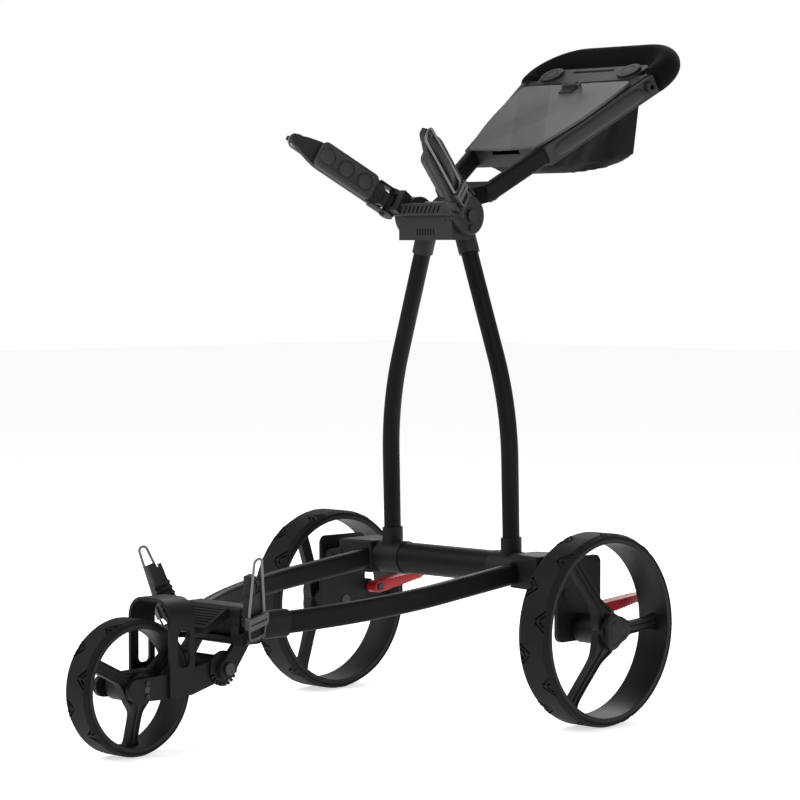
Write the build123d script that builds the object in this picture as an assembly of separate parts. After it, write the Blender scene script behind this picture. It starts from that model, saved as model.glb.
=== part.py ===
from build123d import *
import os
from math import asin, atan, cos, degrees, radians, sin, sqrt, tan

# Three-wheel folding golf push cart. Millimetres, +Z up, the front points to -Y, left is +X.
# Everything is drawn with Y = 0 at the rear axle and moved by AXLE_Y when it is written.

# ---- clearances ----
RUN = 0.05          # radial running clearance of a pin or shaft
GAP = 0.3           # gap between pieces that move past each other

# ---- wheels ----
REAR_WHEEL_R = 147.5
REAR_TYRE_WIDTH = 58.5
REAR_RIM_HOLE_R = 133.0
TRACK = 588.7
FRONT_WHEEL_R = 98.8
FRONT_TYRE_WIDTH = 49.5
FRONT_RIM_HOLE_R = 85.0
WHEELBASE = 678.7
RIM_WALL = 4.0
RIM_LIP = 3.0
TYRE_SHOULDER_R = 4.0
SPOKE_WIDTH = 24.0
SPOKE_THICKNESS = 9.0
SPOKE_RIB = 5.0
REAR_SPOKE_ANGLES = (0, 120, 240)
FRONT_SPOKE_ANGLES = (30, 150, 270)
REAR_HUB_R = 24.0
REAR_HUB_INNER = -31.0      # hub faces measured from the wheel's middle plane
REAR_HUB_OUTER = 33.0
REAR_AXLE_R = 6.0
BEARING_R = 14.0
BEARING_WIDTH = 8.0
HUB_CAP_LOBE_R = 15.0
HUB_CAP_SPREAD = 14.0
HUB_CAP_DEPTH = 9.0
FRONT_HUB_R = 22.0
FRONT_HUB_HALF = 30.0
FRONT_AXLE_R = 5.0

# ---- cross tube and lower frame ----
CROSS_Y = -14.0
CROSS_Z = 230.0
CROSS_R = 25.0
TUBE_WALL = 2.0
COLLAR_R = 26.5
COLLAR_INNER_X = 98.0
COLLAR_OUTER_X = 152.5
FRAME_SLOPE = 6.4
LOWER_TUBE_X = 164.0
LOWER_TUBE_HEIGHT = 33.0
LOWER_TUBE_WIDTH = 18.0
LOWER_TUBE_STRAIGHT = 186.0
LOWER_TUBE_BEND_R = 500.0
LOWER_TUBE_REACH = 474.0
LOWER_TUBE_START = -27.0

# ---- end blocks and wheel carriers ----
BLOCK_INNER_X = 153.0
BLOCK_OUTER_X = 218.0
BLOCK_HALF_HEIGHT = 26.0
FOLD_X = 233.0
FOLD_Z = 225.0
KNUCKLE_R = 13.0
FOLD_PIN_R = 5.0
KNUCKLE_FRONT = (-54.0, -30.0)
KNUCKLE_REAR = (16.0, 40.0)
PLATE_INNER_X = 256.0
PLATE_THICKNESS = 6.5
PLATE_FRONT_Y = -54.0
PLATE_REAR_Y = 45.0
PLATE_LOW_Z = 128.0
PLATE_TOP_Z = 257.0
LEVER_Y = 54.0
LEVER_Z = 167.0
LEVER_LENGTH = 108.0
LEVER_RISE = 9.0
LEVER_WIDTH = 22.0
LEVER_PIN_R = 3.5
LEVER_OUTER_X = 252.0

# ---- front block and fork ----
FRONT_BLOCK_Y = -501.0
FRONT_BLOCK_Z = 177.0
FRONT_BLOCK_HALF_X = 64.0
FRONT_BLOCK_DEPTH = 44.0
FRONT_BLOCK_HEIGHT = 56.0
FORK_Y = -537.0
FORK_Z = 116.0
FORK_PIN_R = 5.0
FORK_EAR_R = 15.0
FORK_EAR_X = (46.0, 55.0)
FORK_DISC_R = 26.0
FORK_DISC_X = (41.3, 45.4)
FORK_LEG_X = (33.0, 41.0)
FORK_BARREL_R = 18.0
FORK_LEG_HEIGHT = 32.0
FORK_LEG_NOSE = 17.0
ARCH_FRONT_Y = -640.0
ARCH_REAR_Y = -594.0
ARCH_LOW_Z = 82.0
ARCH_TOP_Z = 224.0
ARCH_HALF_X = 46.5
ARCH_WALL = 5.0
ARCH_CORNER_R = 30.0

# ---- uprights and top hinge ----
UPRIGHT_LEAN = 1.5
UPRIGHT_X = 130.5
UPRIGHT_DEPTH = 32.0
UPRIGHT_WIDTH = 22.0
UPRIGHT_STRAIGHT = 168.0
UPRIGHT_BEND_R = 520.0
UPRIGHT_BEND_ANGLE = 18.35
UPRIGHT_TOP = 514.0
HINGE_Y = -42.0
HINGE_Z = 778.0
HINGE_CHEEK_R = 31.0
HINGE_CHEEK_X = (41.0, 70.0)
HINGE_PIN_R = 6.0
YOKE_R = 23.0
YOKE_HALF_X = 25.0

# ---- upper bag bracket ----
CRADLE_SLOPE = 34.0
CRADLE_BAR_HALF_X = 64.0
ARM_PIVOT_X = 78.0
ARM_PIVOT_Q = 36.0
ARM_PIN_R = 4.0
ARM_ANGLE = 19.7
ARM_LENGTH = 196.0
ARM_THICKNESS = 8.0
ARM_ROOT_WIDTH = 38.0
ARM_TIP_WIDTH = 22.0
PAD_LENGTH = 110.0
PAD_WIDTH = 45.0
PAD_THICKNESS = 9.0
PAD_START = 38.0
STUD_R = 11.5
STUD_HEIGHT = 4.0
STUD_PITCH = 31.0
CORD_R = 2.0
LOOP_HALF_WIDTH = 11.0
CLIP_LENGTH = 20.0
CLIP_DEPTH = 9.0
RING_R = 1.5

# ---- lower bag bracket ----
LOWER_ARM_X = 84.0
LOWER_ARM_Y = -516.0
LOWER_ARM_Z = 165.0
LOWER_ARM_LEAN = 14.0
LOWER_ARM_SPLAY = 17.0
LOWER_ARM_LENGTH = 102.0
LOWER_ARM_ROOT_WIDTH = 34.0
LOWER_ARM_TIP_WIDTH = 17.0
LOWER_LOOP_HALF_WIDTH = 15.5
LOWER_CLIP_START = 34.0
TOP_CLIP_START = 40.0
LOWER_LOOP_TIP = 7.0
LOWER_LOOP_RISE = 26.0

# ---- handle ----
HANDLE_ANGLE = 31.5
HANDLE_TUBE_HEIGHT = 30.0
HANDLE_TUBE_WIDTH = 17.0
HANDLE_WALL = 2.0
HANDLE_ROOT_S = 66.0
HANDLE_ROOT_X = 48.6
HANDLE_SPREAD = 0.2324
GRIP_S = 508.0
GRIP_CORNER_R = 66.0
GRIP_TUBE_R = 11.0
GRIP_START_S = 422.0
FOAM_R = 22.0
CONSOLE_FRONT_S = 185.0
CONSOLE_LID_S = 398.0
CONSOLE_REAR_S = 452.0
CONSOLE_TOP = 15.0
CONSOLE_DEPTH = 18.5
CONSOLE_SIDE = 3.0
CONSOLE_WALL = 2.5
LID_THICKNESS = 4.0
LID_BOW = 8.0
LID_PIN_R = 2.0
LID_PIN_HALF = 66.0
LID_PIN_Z = 11.0
LID_KNUCKLE_R = 3.6
LID_KNUCKLE_X = (43.0, 59.0)
CLIP_PIVOT_R = 1.2
DISC_X = 84.0
DISC_S = 430.0
DISC_R = 21.0
DISC_HEIGHT = 4.5
BOSS_S = 404.0
BOSS_R = 9.0
BOSS_LENGTH = 12.0
BOSS_BORE_R = 4.0
NET_WALL = 2.0
NET_REAR_S = 417.0
NET_REAR_SLANT = 48.0
NET_DEPTH = 84.0
NET_HALF_FRONT = 58.0
NET_HALF_REAR = 100.0
NET_FRONT_S = 192.0

# ---- derived places ----
HANDLE_SLANT = degrees(atan(HANDLE_SPREAD))
REAR_REACH = HINGE_Y + GRIP_S * cos(radians(HANDLE_ANGLE)) + FOAM_R
AXLE_Y = (WHEELBASE + FRONT_WHEEL_R - REAR_REACH) / 2
WHEEL_X = TRACK / 2
LOWER_FRAME = Pos(0, CROSS_Y, CROSS_Z) * Rot(FRAME_SLOPE, 0, 0)
UPRIGHT_FRAME = Pos(0, CROSS_Y, CROSS_Z) * Rot(UPRIGHT_LEAN, 0, 0)
HINGE_FRAME = Pos(0, HINGE_Y, HINGE_Z)
CRADLE_FRAME = HINGE_FRAME * Rot(-CRADLE_SLOPE, 0, 0)
HANDLE_FRAME = HINGE_FRAME * Rot(HANDLE_ANGLE, 0, 0)
LOWER_ARM_FRAME = Pos(0, LOWER_ARM_Y, LOWER_ARM_Z) * Rot(LOWER_ARM_LEAN, 0, 0)

parts = {}


# ---- small helpers ----
def box(x, y, z):
    """Box between the two ends given for each axis."""
    place = Pos((x[0] + x[1]) / 2, (y[0] + y[1]) / 2, (z[0] + z[1]) / 2)
    return place * Box(abs(x[1] - x[0]), abs(y[1] - y[0]), abs(z[1] - z[0]))


def rod_x(radius, ends, y=0.0, z=0.0):
    """Round bar along X."""
    place = Pos((ends[0] + ends[1]) / 2, y, z) * Rot(0, 90, 0)
    return place * Cylinder(radius, abs(ends[1] - ends[0]))


def rod_y(radius, ends, x=0.0, z=0.0):
    """Round bar along Y."""
    place = Pos(x, (ends[0] + ends[1]) / 2, z) * Rot(90, 0, 0)
    return place * Cylinder(radius, abs(ends[1] - ends[0]))


def rod_z(radius, ends, x=0.0, y=0.0):
    """Round bar along Z."""
    return Pos(x, y, (ends[0] + ends[1]) / 2) * Cylinder(radius, abs(ends[1] - ends[0]))


def prism_x(points, ends):
    """Outline of (y, z) points, pushed along X."""
    face = Plane.YZ * make_face(Polyline(*points, close=True).edges())
    return Pos(ends[0], 0, 0) * extrude(face, amount=ends[1] - ends[0])


def prism_z(points, ends):
    """Outline of (x, y) points, pushed along Z."""
    face = make_face(Polyline(*points, close=True).edges())
    return Pos(0, 0, ends[0]) * extrude(face, amount=ends[1] - ends[0])


def both_sides(name, shape):
    """Keeps a left piece and its mirror image as the right one."""
    parts[name + "_left"] = shape
    parts[name + "_right"] = mirror(shape, Plane.YZ)


def pair(shape):
    """A piece and its mirror image in one node."""
    return shape + mirror(shape, Plane.YZ)


def handle_x(s):
    """Distance of a handle tube's middle from the middle plane, s along the handle."""
    return HANDLE_ROOT_X + HANDLE_SPREAD * (s - HANDLE_ROOT_S)


# ---- wheels, drawn about the X axis with the outside at +X ----
def tyre(radius, width, hole_r):
    seat = hole_r + RIM_WALL
    body = rod_x(radius, (-width / 2, width / 2)) - rod_x(seat + RUN, (-width, width))
    crown = body.edges().filter_by(GeomType.CIRCLE).filter_by(lambda e: abs(e.radius - radius) < 0.01)
    body = fillet(crown, TYRE_SHOULDER_R)
    for side in (-1, 1):
        ends = (side * (width / 2 - RIM_LIP - RUN), side * (width / 2 + 1))
        body -= rod_x(seat + RIM_LIP + RUN, ends)
    return body


def rim(width, hole_r, hub_r, hub_ends, spoke_angles, bore_r):
    """Barrel with two lips, a hub and three ribbed spokes that lean out to the hub's outer end."""
    seat = hole_r + RIM_WALL
    body = rod_x(seat, (-width / 2, width / 2))
    for side in (-1, 1):
        body += rod_x(seat + RIM_LIP, (side * (width / 2 - RIM_LIP), side * width / 2))
    body -= rod_x(hole_r, (-width, width))
    body += rod_x(hub_r, hub_ends)
    reach = hole_r + RIM_WALL / 2
    hub_x = (hub_ends[0] + hub_ends[1]) / 2 + hub_r / 3
    for angle in spoke_angles:
        flange = loft([
            Pos(hub_x, hub_r * 0.7, 0) * Rot(90, 0, 0) * Rectangle(SPOKE_THICKNESS * 1.6, SPOKE_WIDTH * 1.35),
            Pos(0, reach, 0) * Rot(90, 0, 0) * Rectangle(SPOKE_THICKNESS, SPOKE_WIDTH)])
        rib = loft([
            Pos(hub_x - 4, hub_r * 0.7, 0) * Rot(90, 0, 0) * Rectangle(2.6 * SPOKE_THICKNESS, SPOKE_RIB * 1.4),
            Pos(-4, reach, 0) * Rot(90, 0, 0) * Rectangle(2.4 * SPOKE_THICKNESS, SPOKE_RIB)])
        body += Rot(angle, 0, 0) * (flange + rib)
    body -= rod_x(bore_r + RUN, (hub_ends[0] + BEARING_WIDTH, hub_ends[1] - BEARING_WIDTH))
    for side, end in ((1, hub_ends[0]), (-1, hub_ends[1])):
        body -= rod_x(BEARING_R + RUN, (end - side, end + side * BEARING_WIDTH))
    return body


def bearings(hub_ends, axle_r):
    both = None
    for side, end in ((1, hub_ends[0]), (-1, hub_ends[1])):
        ring = rod_x(BEARING_R, (end, end + side * (BEARING_WIDTH - RUN)))
        ring -= rod_x(axle_r + RUN, (end - side, end + side * (BEARING_WIDTH + 1)))
        both = ring if both is None else both + ring
    return both


def hub_cap():
    """Rounded three-lobe cap over the outer bearing."""
    lobes = Circle(HUB_CAP_LOBE_R + 5)
    for angle in REAR_SPOKE_ANGLES:
        at = radians(angle)
        lobes += Pos(-HUB_CAP_SPREAD * sin(at), HUB_CAP_SPREAD * cos(at)) * Circle(HUB_CAP_LOBE_R)
    outline = make_hull(lobes.edges())
    cap = extrude(outline, amount=HUB_CAP_DEPTH)
    cap = fillet(cap.faces().sort_by(Axis.Z)[-1].edges(), 3.0)
    cap -= Pos(0, 0, HUB_CAP_DEPTH) * (Cylinder(12, 1.6) - Cylinder(10, 2))
    axle_room = Pos(0, 0, 0) * Cylinder(REAR_AXLE_R + 2, 8)
    return Pos(REAR_HUB_OUTER + RUN, 0, 0) * Rot(0, 90, 0) * Rot(0, 0, -90) * (cap - axle_room)


def make_rear_wheels():
    place = Pos(WHEEL_X, 0, REAR_WHEEL_R)
    hub_ends = (REAR_HUB_INNER, REAR_HUB_OUTER)
    both_sides("rear_tyre", place * tyre(REAR_WHEEL_R, REAR_TYRE_WIDTH, REAR_RIM_HOLE_R))
    both_sides("rear_rim", place * rim(REAR_TYRE_WIDTH, REAR_RIM_HOLE_R, REAR_HUB_R, hub_ends,
                                       REAR_SPOKE_ANGLES, REAR_AXLE_R + 2))
    both_sides("rear_bearings", place * bearings(hub_ends, REAR_AXLE_R))
    both_sides("hub_cap", place * hub_cap())


def make_front_wheel():
    place = Pos(0, -WHEELBASE, FRONT_WHEEL_R)
    hub_ends = (-FRONT_HUB_HALF, FRONT_HUB_HALF)
    parts["front_tyre"] = place * tyre(FRONT_WHEEL_R, FRONT_TYRE_WIDTH, FRONT_RIM_HOLE_R)
    parts["front_rim"] = place * rim(FRONT_TYRE_WIDTH, FRONT_RIM_HOLE_R, FRONT_HUB_R, hub_ends,
                                     FRONT_SPOKE_ANGLES, FRONT_AXLE_R + 2)
    parts["front_bearings"] = place * bearings(hub_ends, FRONT_AXLE_R)


# ---- fixed frame ----
def lower_tube_path():
    """Middle line of a lower tube in the frame's own plane, from the cross tube forward."""
    bend_start = -LOWER_TUBE_STRAIGHT
    angle = degrees(asin((LOWER_TUBE_REACH - LOWER_TUBE_STRAIGHT) / LOWER_TUBE_BEND_R))
    centre = (LOWER_TUBE_X - LOWER_TUBE_BEND_R, bend_start)
    straight = Line((LOWER_TUBE_X, LOWER_TUBE_START), (LOWER_TUBE_X, bend_start))
    bend = CenterArc(centre, LOWER_TUBE_BEND_R, 0, -angle)
    return Wire([*straight.edges(), *bend.edges()])


def lower_tube_bar(grow=0.0, wall=None):
    path = lower_tube_path()
    section = RectangleRounded(LOWER_TUBE_WIDTH + 2 * grow, LOWER_TUBE_HEIGHT + 2 * grow, 7 + grow)
    if wall:
        section -= RectangleRounded(LOWER_TUBE_WIDTH - 2 * wall, LOWER_TUBE_HEIGHT - 2 * wall, 7 - wall)
    start = Plane(origin=(LOWER_TUBE_X, LOWER_TUBE_START, 0), x_dir=(1, 0, 0), z_dir=(0, -1, 0))
    return LOWER_FRAME * sweep(start * section, path=path)


def make_lower_frame():
    end = BLOCK_INNER_X + 12
    tube = rod_x(CROSS_R, (-end, end)) - rod_x(CROSS_R - TUBE_WALL, (-end - 1, end + 1))
    parts["cross_tube"] = Pos(0, CROSS_Y, CROSS_Z) * tube
    both_sides("lower_tube", lower_tube_bar(wall=TUBE_WALL))


def end_block():
    """Casting that joins the cross tube, a lower tube and the wheel carrier's fold pin."""
    low = CROSS_Z - BLOCK_HALF_HEIGHT
    high = CROSS_Z + BLOCK_HALF_HEIGHT
    front = KNUCKLE_FRONT[0]
    rear = KNUCKLE_REAR[1]
    outline = [(BLOCK_INNER_X, CROSS_Y - 29), (BLOCK_OUTER_X, front), (BLOCK_OUTER_X, rear),
               (BLOCK_INNER_X, CROSS_Y + 29)]
    body = prism_z(outline, (low, high))
    body = fillet(body.edges().filter_by(Axis.Z), 5)
    body = fillet(body.faces().sort_by(Axis.Z)[-1].edges(), 4)
    for ends in (KNUCKLE_FRONT, KNUCKLE_REAR):
        body += rod_y(KNUCKLE_R, ends, FOLD_X, FOLD_Z)
        body += box((BLOCK_OUTER_X - 8, FOLD_X), ends, (FOLD_Z - 9, FOLD_Z + KNUCKLE_R))
    body -= rod_y(FOLD_PIN_R + RUN, (front - 1, rear + 1), FOLD_X, FOLD_Z)
    body -= Pos(0, CROSS_Y, CROSS_Z) * rod_x(CROSS_R + RUN, (BLOCK_INNER_X - 1, BLOCK_INNER_X + 12 + RUN))
    for level in (low + 6, high - 17):
        pocket = (KNUCKLE_FRONT[1] + 4, KNUCKLE_REAR[0] - 4)
        body -= box((BLOCK_OUTER_X - 16, BLOCK_OUTER_X + 1), pocket, (level, level + 11))
    return body - lower_tube_bar(grow=RUN)


def front_block():
    """Cross member that joins the two lower tubes and carries the fork's ears."""
    half = FRONT_BLOCK_DEPTH / 2
    y = (FRONT_BLOCK_Y - half, FRONT_BLOCK_Y + half)
    z = (FRONT_BLOCK_Z - FRONT_BLOCK_HEIGHT / 2, FRONT_BLOCK_Z + FRONT_BLOCK_HEIGHT / 2)
    body = box((-FRONT_BLOCK_HALF_X, FRONT_BLOCK_HALF_X), y, z)
    body = fillet(body.edges().filter_by(Axis.X), 6)
    body -= box((-44, 44), (y[0] - 1, y[0] + 14), (z[0] + 12, z[1] - 12))
    sides = None
    for side in (-1, 1):
        x = (side * FORK_EAR_X[0], side * FORK_EAR_X[1])
        web = [(FRONT_BLOCK_Y - 17, z[0] + 8), (FRONT_BLOCK_Y + 12, z[0] + 8),
               (FORK_Y + 13, FORK_Z - 6), (FORK_Y - 13, FORK_Z + 6)]
        ear = prism_x(web, x) + rod_x(FORK_EAR_R, x, FORK_Y, FORK_Z)
        lug_x = (side * (FRONT_BLOCK_HALF_X - 6), side * (LOWER_ARM_X - 13))
        lug = box(lug_x, (LOWER_ARM_Y - 15, LOWER_ARM_Y + 17), (LOWER_ARM_Z - 14, LOWER_ARM_Z + 14))
        sides = ear + lug if sides is None else sides + ear + lug
    body += sides
    body += pair(lower_arm_fork())
    sleeve = lower_tube_bar(grow=4.0) & box((0, 2 * LOWER_TUBE_X), (y[0], FRONT_BLOCK_Y + 42), (0, CROSS_Z))
    sleeve += box((FRONT_BLOCK_HALF_X - 8, FRONT_BLOCK_HALF_X + 8), (FRONT_BLOCK_Y + 4, FRONT_BLOCK_Y + 14),
                  (FRONT_BLOCK_Z - 18, FRONT_BLOCK_Z + 20))
    body += pair(sleeve)
    body -= rod_x(FORK_PIN_R + RUN, (-FORK_EAR_X[1] - 1, FORK_EAR_X[1] + 1), FORK_Y, FORK_Z)
    body -= pair(LOWER_ARM_FRAME * rod_y(ARM_PIN_R + RUN, (-24, 24), LOWER_ARM_X, 0))
    return body - pair(lower_tube_bar(grow=RUN))


def lower_arm_fork():
    """Two ears that hold a lower arm's pivot pin."""
    ears = None
    for ends in ((-19, -12.3), (12.3, 19)):
        ear = rod_y(9, ends, LOWER_ARM_X, 0)
        ear += box((FRONT_BLOCK_HALF_X - 4, LOWER_ARM_X), ends, (-9, 2))
        ears = ear if ears is None else ears + ear
    return LOWER_ARM_FRAME * ears


def nose_cover():
    """Ribbed cover that slopes from the front block over the fork hub."""
    top = FRONT_BLOCK_Z + FRONT_BLOCK_HEIGHT / 2 - 2
    front = FRONT_BLOCK_Y - FRONT_BLOCK_DEPTH / 2 - GAP
    points = [(front, top), (front - 46, top - 26), (front - 50, top - 33), (front - 44, top - 36),
              (front, top - 14)]
    body = prism_x(points, (-40, 40))
    slope = degrees(atan(26 / 46))
    for step in range(7):
        groove = box((-34, 34), (-1.2, 1.2), (-1.6, 3))
        at = Pos(0, front - 6 - 5.4 * step, top - (6 + 5.4 * step) * tan(radians(slope)))
        body -= at * Rot(slope, 0, 0) * groove
    return body


def frame_pins():
    """Fold pins of the carriers, pivot pins of the lower arms and the fork's pin."""
    fold = rod_y(FOLD_PIN_R, (KNUCKLE_FRONT[0] - 3, KNUCKLE_REAR[1] + 3), FOLD_X, FOLD_Z)
    arm = LOWER_ARM_FRAME * rod_y(ARM_PIN_R, (-21, 21), LOWER_ARM_X, 0)
    fork = rod_x(FORK_PIN_R, (-FORK_EAR_X[1] - 1, FORK_EAR_X[1] + 1), FORK_Y, FORK_Z)
    fork += pair(rod_x(FORK_PIN_R + 4, (FORK_EAR_X[1] + RUN, FORK_EAR_X[1] + 5), FORK_Y, FORK_Z))
    return pair(fold) + pair(arm) + fork


# ---- wheel carriers ----
def wheel_carrier():
    plate = box((PLATE_INNER_X, PLATE_INNER_X + PLATE_THICKNESS), (PLATE_FRONT_Y, PLATE_REAR_Y),
                (PLATE_LOW_Z, PLATE_TOP_Z))
    plate = fillet(plate.edges().filter_by(Axis.X), 12)
    ear_x = (PLATE_INNER_X, PLATE_INNER_X + PLATE_THICKNESS)
    plate += rod_x(12, ear_x, LEVER_Y, LEVER_Z)
    plate += box(ear_x, (PLATE_REAR_Y - 14, LEVER_Y), (LEVER_Z - 12, LEVER_Z + 12))
    knuckle_y = (KNUCKLE_FRONT[1] + GAP, KNUCKLE_REAR[0] - GAP)
    plate += rod_y(KNUCKLE_R, knuckle_y, FOLD_X, FOLD_Z)
    web = box((FOLD_X, PLATE_INNER_X + 1), knuckle_y, (FOLD_Z - KNUCKLE_R, FOLD_Z + KNUCKLE_R))
    plate += web
    for y in (knuckle_y[0] + 5, 0.0, knuckle_y[1] - 5):
        gusset = [(FOLD_X + 14, FOLD_Z), (PLATE_INNER_X + 1, FOLD_Z), (PLATE_INNER_X + 1, FOLD_Z - 21)]
        face = Plane.XZ * make_face(Polyline(*gusset, close=True).edges())
        plate += Pos(0, y + 2, 0) * extrude(face, amount=4)
    plate -= rod_y(FOLD_PIN_R + RUN, (knuckle_y[0] - 1, knuckle_y[1] + 1), FOLD_X, FOLD_Z)
    plate -= rod_x(7, (PLATE_INNER_X - 1, PLATE_INNER_X + 20), -34, FOLD_Z - 24)
    plate -= rod_x(REAR_AXLE_R + RUN, (PLATE_INNER_X - 9, PLATE_INNER_X + 20), 0, REAR_WHEEL_R)
    return plate - rod_x(LEVER_PIN_R + RUN, (PLATE_INNER_X - 1, PLATE_INNER_X + 20), LEVER_Y, LEVER_Z)


def carrier_pins():
    axle = rod_x(REAR_AXLE_R, (PLATE_INNER_X - 1, WHEEL_X + REAR_HUB_OUTER + 2), 0, REAR_WHEEL_R)
    axle += rod_x(REAR_AXLE_R + 3, (PLATE_INNER_X - 1.5, PLATE_INNER_X - RUN), 0, REAR_WHEEL_R)
    inside = LEVER_OUTER_X - LEVER_WIDTH
    pin = rod_x(LEVER_PIN_R, (inside - 2, PLATE_INNER_X + PLATE_THICKNESS), LEVER_Y, LEVER_Z)
    return axle + pin + rod_x(LEVER_PIN_R + 2.5, (inside - 4, inside - GAP), LEVER_Y, LEVER_Z)


def release_lever():
    """Channel lever with a finger rest of small ridges, its eye on the carrier's pin."""
    slope = degrees(atan(LEVER_RISE / LEVER_LENGTH))
    points = [(-2, -9), (12, -9), (30, -1), (LEVER_LENGTH, 5), (LEVER_LENGTH + 2, 11),
              (60, 12), (20, 11), (-2, 9)]
    side = rod_x(10, (0, LEVER_WIDTH)) + prism_x(points, (0, LEVER_WIDTH))
    side -= box((4, LEVER_WIDTH - 4), (14, LEVER_LENGTH - 6), (-12, 7.5))
    for step in range(8):
        side -= box((2, LEVER_WIDTH - 2), (38 + 5 * step, 39.5 + 5 * step), (10.6, 14))
    side -= rod_x(LEVER_PIN_R + RUN, (-1, LEVER_WIDTH + 1))
    return Pos(LEVER_OUTER_X - LEVER_WIDTH, LEVER_Y, LEVER_Z) * Rot(slope, 0, 0) * side


def make_carriers():
    both_sides("wheel_carrier", wheel_carrier())
    both_sides("carrier_pins", carrier_pins())
    both_sides("release_lever", release_lever())


# ---- front fork ----
def fork_leg():
    half = FORK_LEG_HEIGHT / 2
    nose = -WHEELBASE - FORK_LEG_NOSE
    points = [(nose, FRONT_WHEEL_R - half), (ARCH_FRONT_Y, FRONT_WHEEL_R - half - 2),
              (ARCH_REAR_Y, FRONT_WHEEL_R - half), (FORK_Y, FORK_Z - FORK_BARREL_R),
              (FORK_Y, FORK_Z + FORK_BARREL_R), (ARCH_REAR_Y, FRONT_WHEEL_R + half + 6),
              (ARCH_FRONT_Y, FRONT_WHEEL_R + half + 2), (nose, FRONT_WHEEL_R + half)]
    leg = prism_x(points, FORK_LEG_X)
    leg += rod_x(half, FORK_LEG_X, nose, FRONT_WHEEL_R)
    leg += rod_x(FORK_BARREL_R, FORK_LEG_X, FORK_Y, FORK_Z)
    leg -= rod_x(FORK_PIN_R + RUN, (FORK_LEG_X[0] - 1, FORK_LEG_X[1] + 1), FORK_Y, FORK_Z)
    return leg - rod_x(FRONT_AXLE_R + RUN, (FORK_LEG_X[0] - 1, FORK_LEG_X[1] + 1), -WHEELBASE, FRONT_WHEEL_R)


def fork_arch():
    """Hood over the wheel: a band that stands on both legs, with a window in each side."""
    inner_half = ARCH_HALF_X - ARCH_WALL
    height = ARCH_TOP_Z - ARCH_LOW_Z
    outer = box((-ARCH_HALF_X, ARCH_HALF_X), (ARCH_FRONT_Y, ARCH_REAR_Y), (ARCH_LOW_Z, ARCH_TOP_Z))
    outer = fillet(outer.edges().filter_by(Axis.Y).group_by(Axis.Z)[-1], ARCH_CORNER_R)
    hollow = box((-inner_half, inner_half), (ARCH_FRONT_Y - 1, ARCH_REAR_Y + 1),
                 (ARCH_LOW_Z - 1, ARCH_TOP_Z - ARCH_WALL))
    hollow = fillet(hollow.edges().filter_by(Axis.Y).group_by(Axis.Z)[-1], ARCH_CORNER_R - ARCH_WALL)
    arch = outer - hollow
    middle = (ARCH_FRONT_Y + ARCH_REAR_Y) / 2 + 3
    window = box((-ARCH_HALF_X - 1, ARCH_HALF_X + 1), (middle - 11, middle + 11),
                 (ARCH_LOW_Z + 0.3 * height, ARCH_LOW_Z + 0.68 * height))
    arch -= fillet(window.edges().filter_by(Axis.X), 8)
    low = [(ARCH_FRONT_Y + 16, ARCH_LOW_Z - 1), (ARCH_REAR_Y + 1, ARCH_LOW_Z - 1),
           (ARCH_REAR_Y + 1, ARCH_LOW_Z + 38)]
    return arch - prism_x(low, (-ARCH_HALF_X - 1, ARCH_HALF_X + 1))


def fold_hub():
    """Barrel between the legs and a slotted disc outside each of them."""
    barrel = rod_x(FORK_BARREL_R, (-FORK_LEG_X[0] + RUN, FORK_LEG_X[0] - RUN))
    disc = rod_x(FORK_DISC_R, FORK_DISC_X)
    for step in range(9):
        slot = box((FORK_DISC_X[0] - 1, FORK_DISC_X[1] + 1), (-1.6, 1.6), (FORK_DISC_R - 6, FORK_DISC_R + 1))
        disc -= Rot(110 + 17 * step, 0, 0) * slot
    hub = barrel + pair(disc)
    hub -= rod_x(FORK_PIN_R + RUN, (-FORK_DISC_X[1] - 1, FORK_DISC_X[1] + 1))
    return Pos(0, FORK_Y, FORK_Z) * hub


def front_axle():
    end = FORK_LEG_X[1] + 0.5
    axle = rod_x(FRONT_AXLE_R, (-end, end), -WHEELBASE, FRONT_WHEEL_R)
    spacer_x = (FRONT_HUB_HALF + GAP, FORK_LEG_X[0] - RUN)
    spacer = rod_x(FRONT_AXLE_R + 5, spacer_x, -WHEELBASE, FRONT_WHEEL_R)
    axle += pair(spacer)
    for offset in (-9.5, 9.5):
        screw = rod_x(3.2, (FORK_LEG_X[1] + RUN, FORK_LEG_X[1] + 2.4), -WHEELBASE, FRONT_WHEEL_R + offset)
        screw -= rod_x(1.5, (FORK_LEG_X[1] + 1.2, FORK_LEG_X[1] + 4), -WHEELBASE, FRONT_WHEEL_R + offset)
        axle += pair(screw)
    return axle


def make_fork():
    both_sides("fork_leg", fork_leg())
    parts["fork_arch"] = fork_arch()
    parts["fold_hub"] = fold_hub()
    parts["front_axle"] = front_axle()


# ---- uprights and top hinge ----
def upright_bar(grow=0.0, wall=None):
    start_z = COLLAR_R + 1
    lean_in = radians(UPRIGHT_BEND_ANGLE)
    bend_x = UPRIGHT_X - UPRIGHT_BEND_R * (1 - cos(lean_in))
    bend_z = UPRIGHT_STRAIGHT + UPRIGHT_BEND_R * sin(lean_in)
    top_x = bend_x - (UPRIGHT_TOP - bend_z) * tan(lean_in)
    low = Line((UPRIGHT_X, 0, start_z), (UPRIGHT_X, 0, UPRIGHT_STRAIGHT))
    bend = TangentArc((UPRIGHT_X, 0, UPRIGHT_STRAIGHT), (bend_x, 0, bend_z), tangent=(0, 0, 1))
    high = Line((bend_x, 0, bend_z), (top_x, 0, UPRIGHT_TOP))
    path = Wire([*low.edges(), *bend.edges(), *high.edges()])
    section = Ellipse(UPRIGHT_WIDTH / 2 + grow, UPRIGHT_DEPTH / 2 + grow)
    if wall:
        section -= Ellipse(UPRIGHT_WIDTH / 2 - wall, UPRIGHT_DEPTH / 2 - wall)
    return UPRIGHT_FRAME * sweep(Pos(UPRIGHT_X, 0, start_z) * section, path=path)


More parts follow.
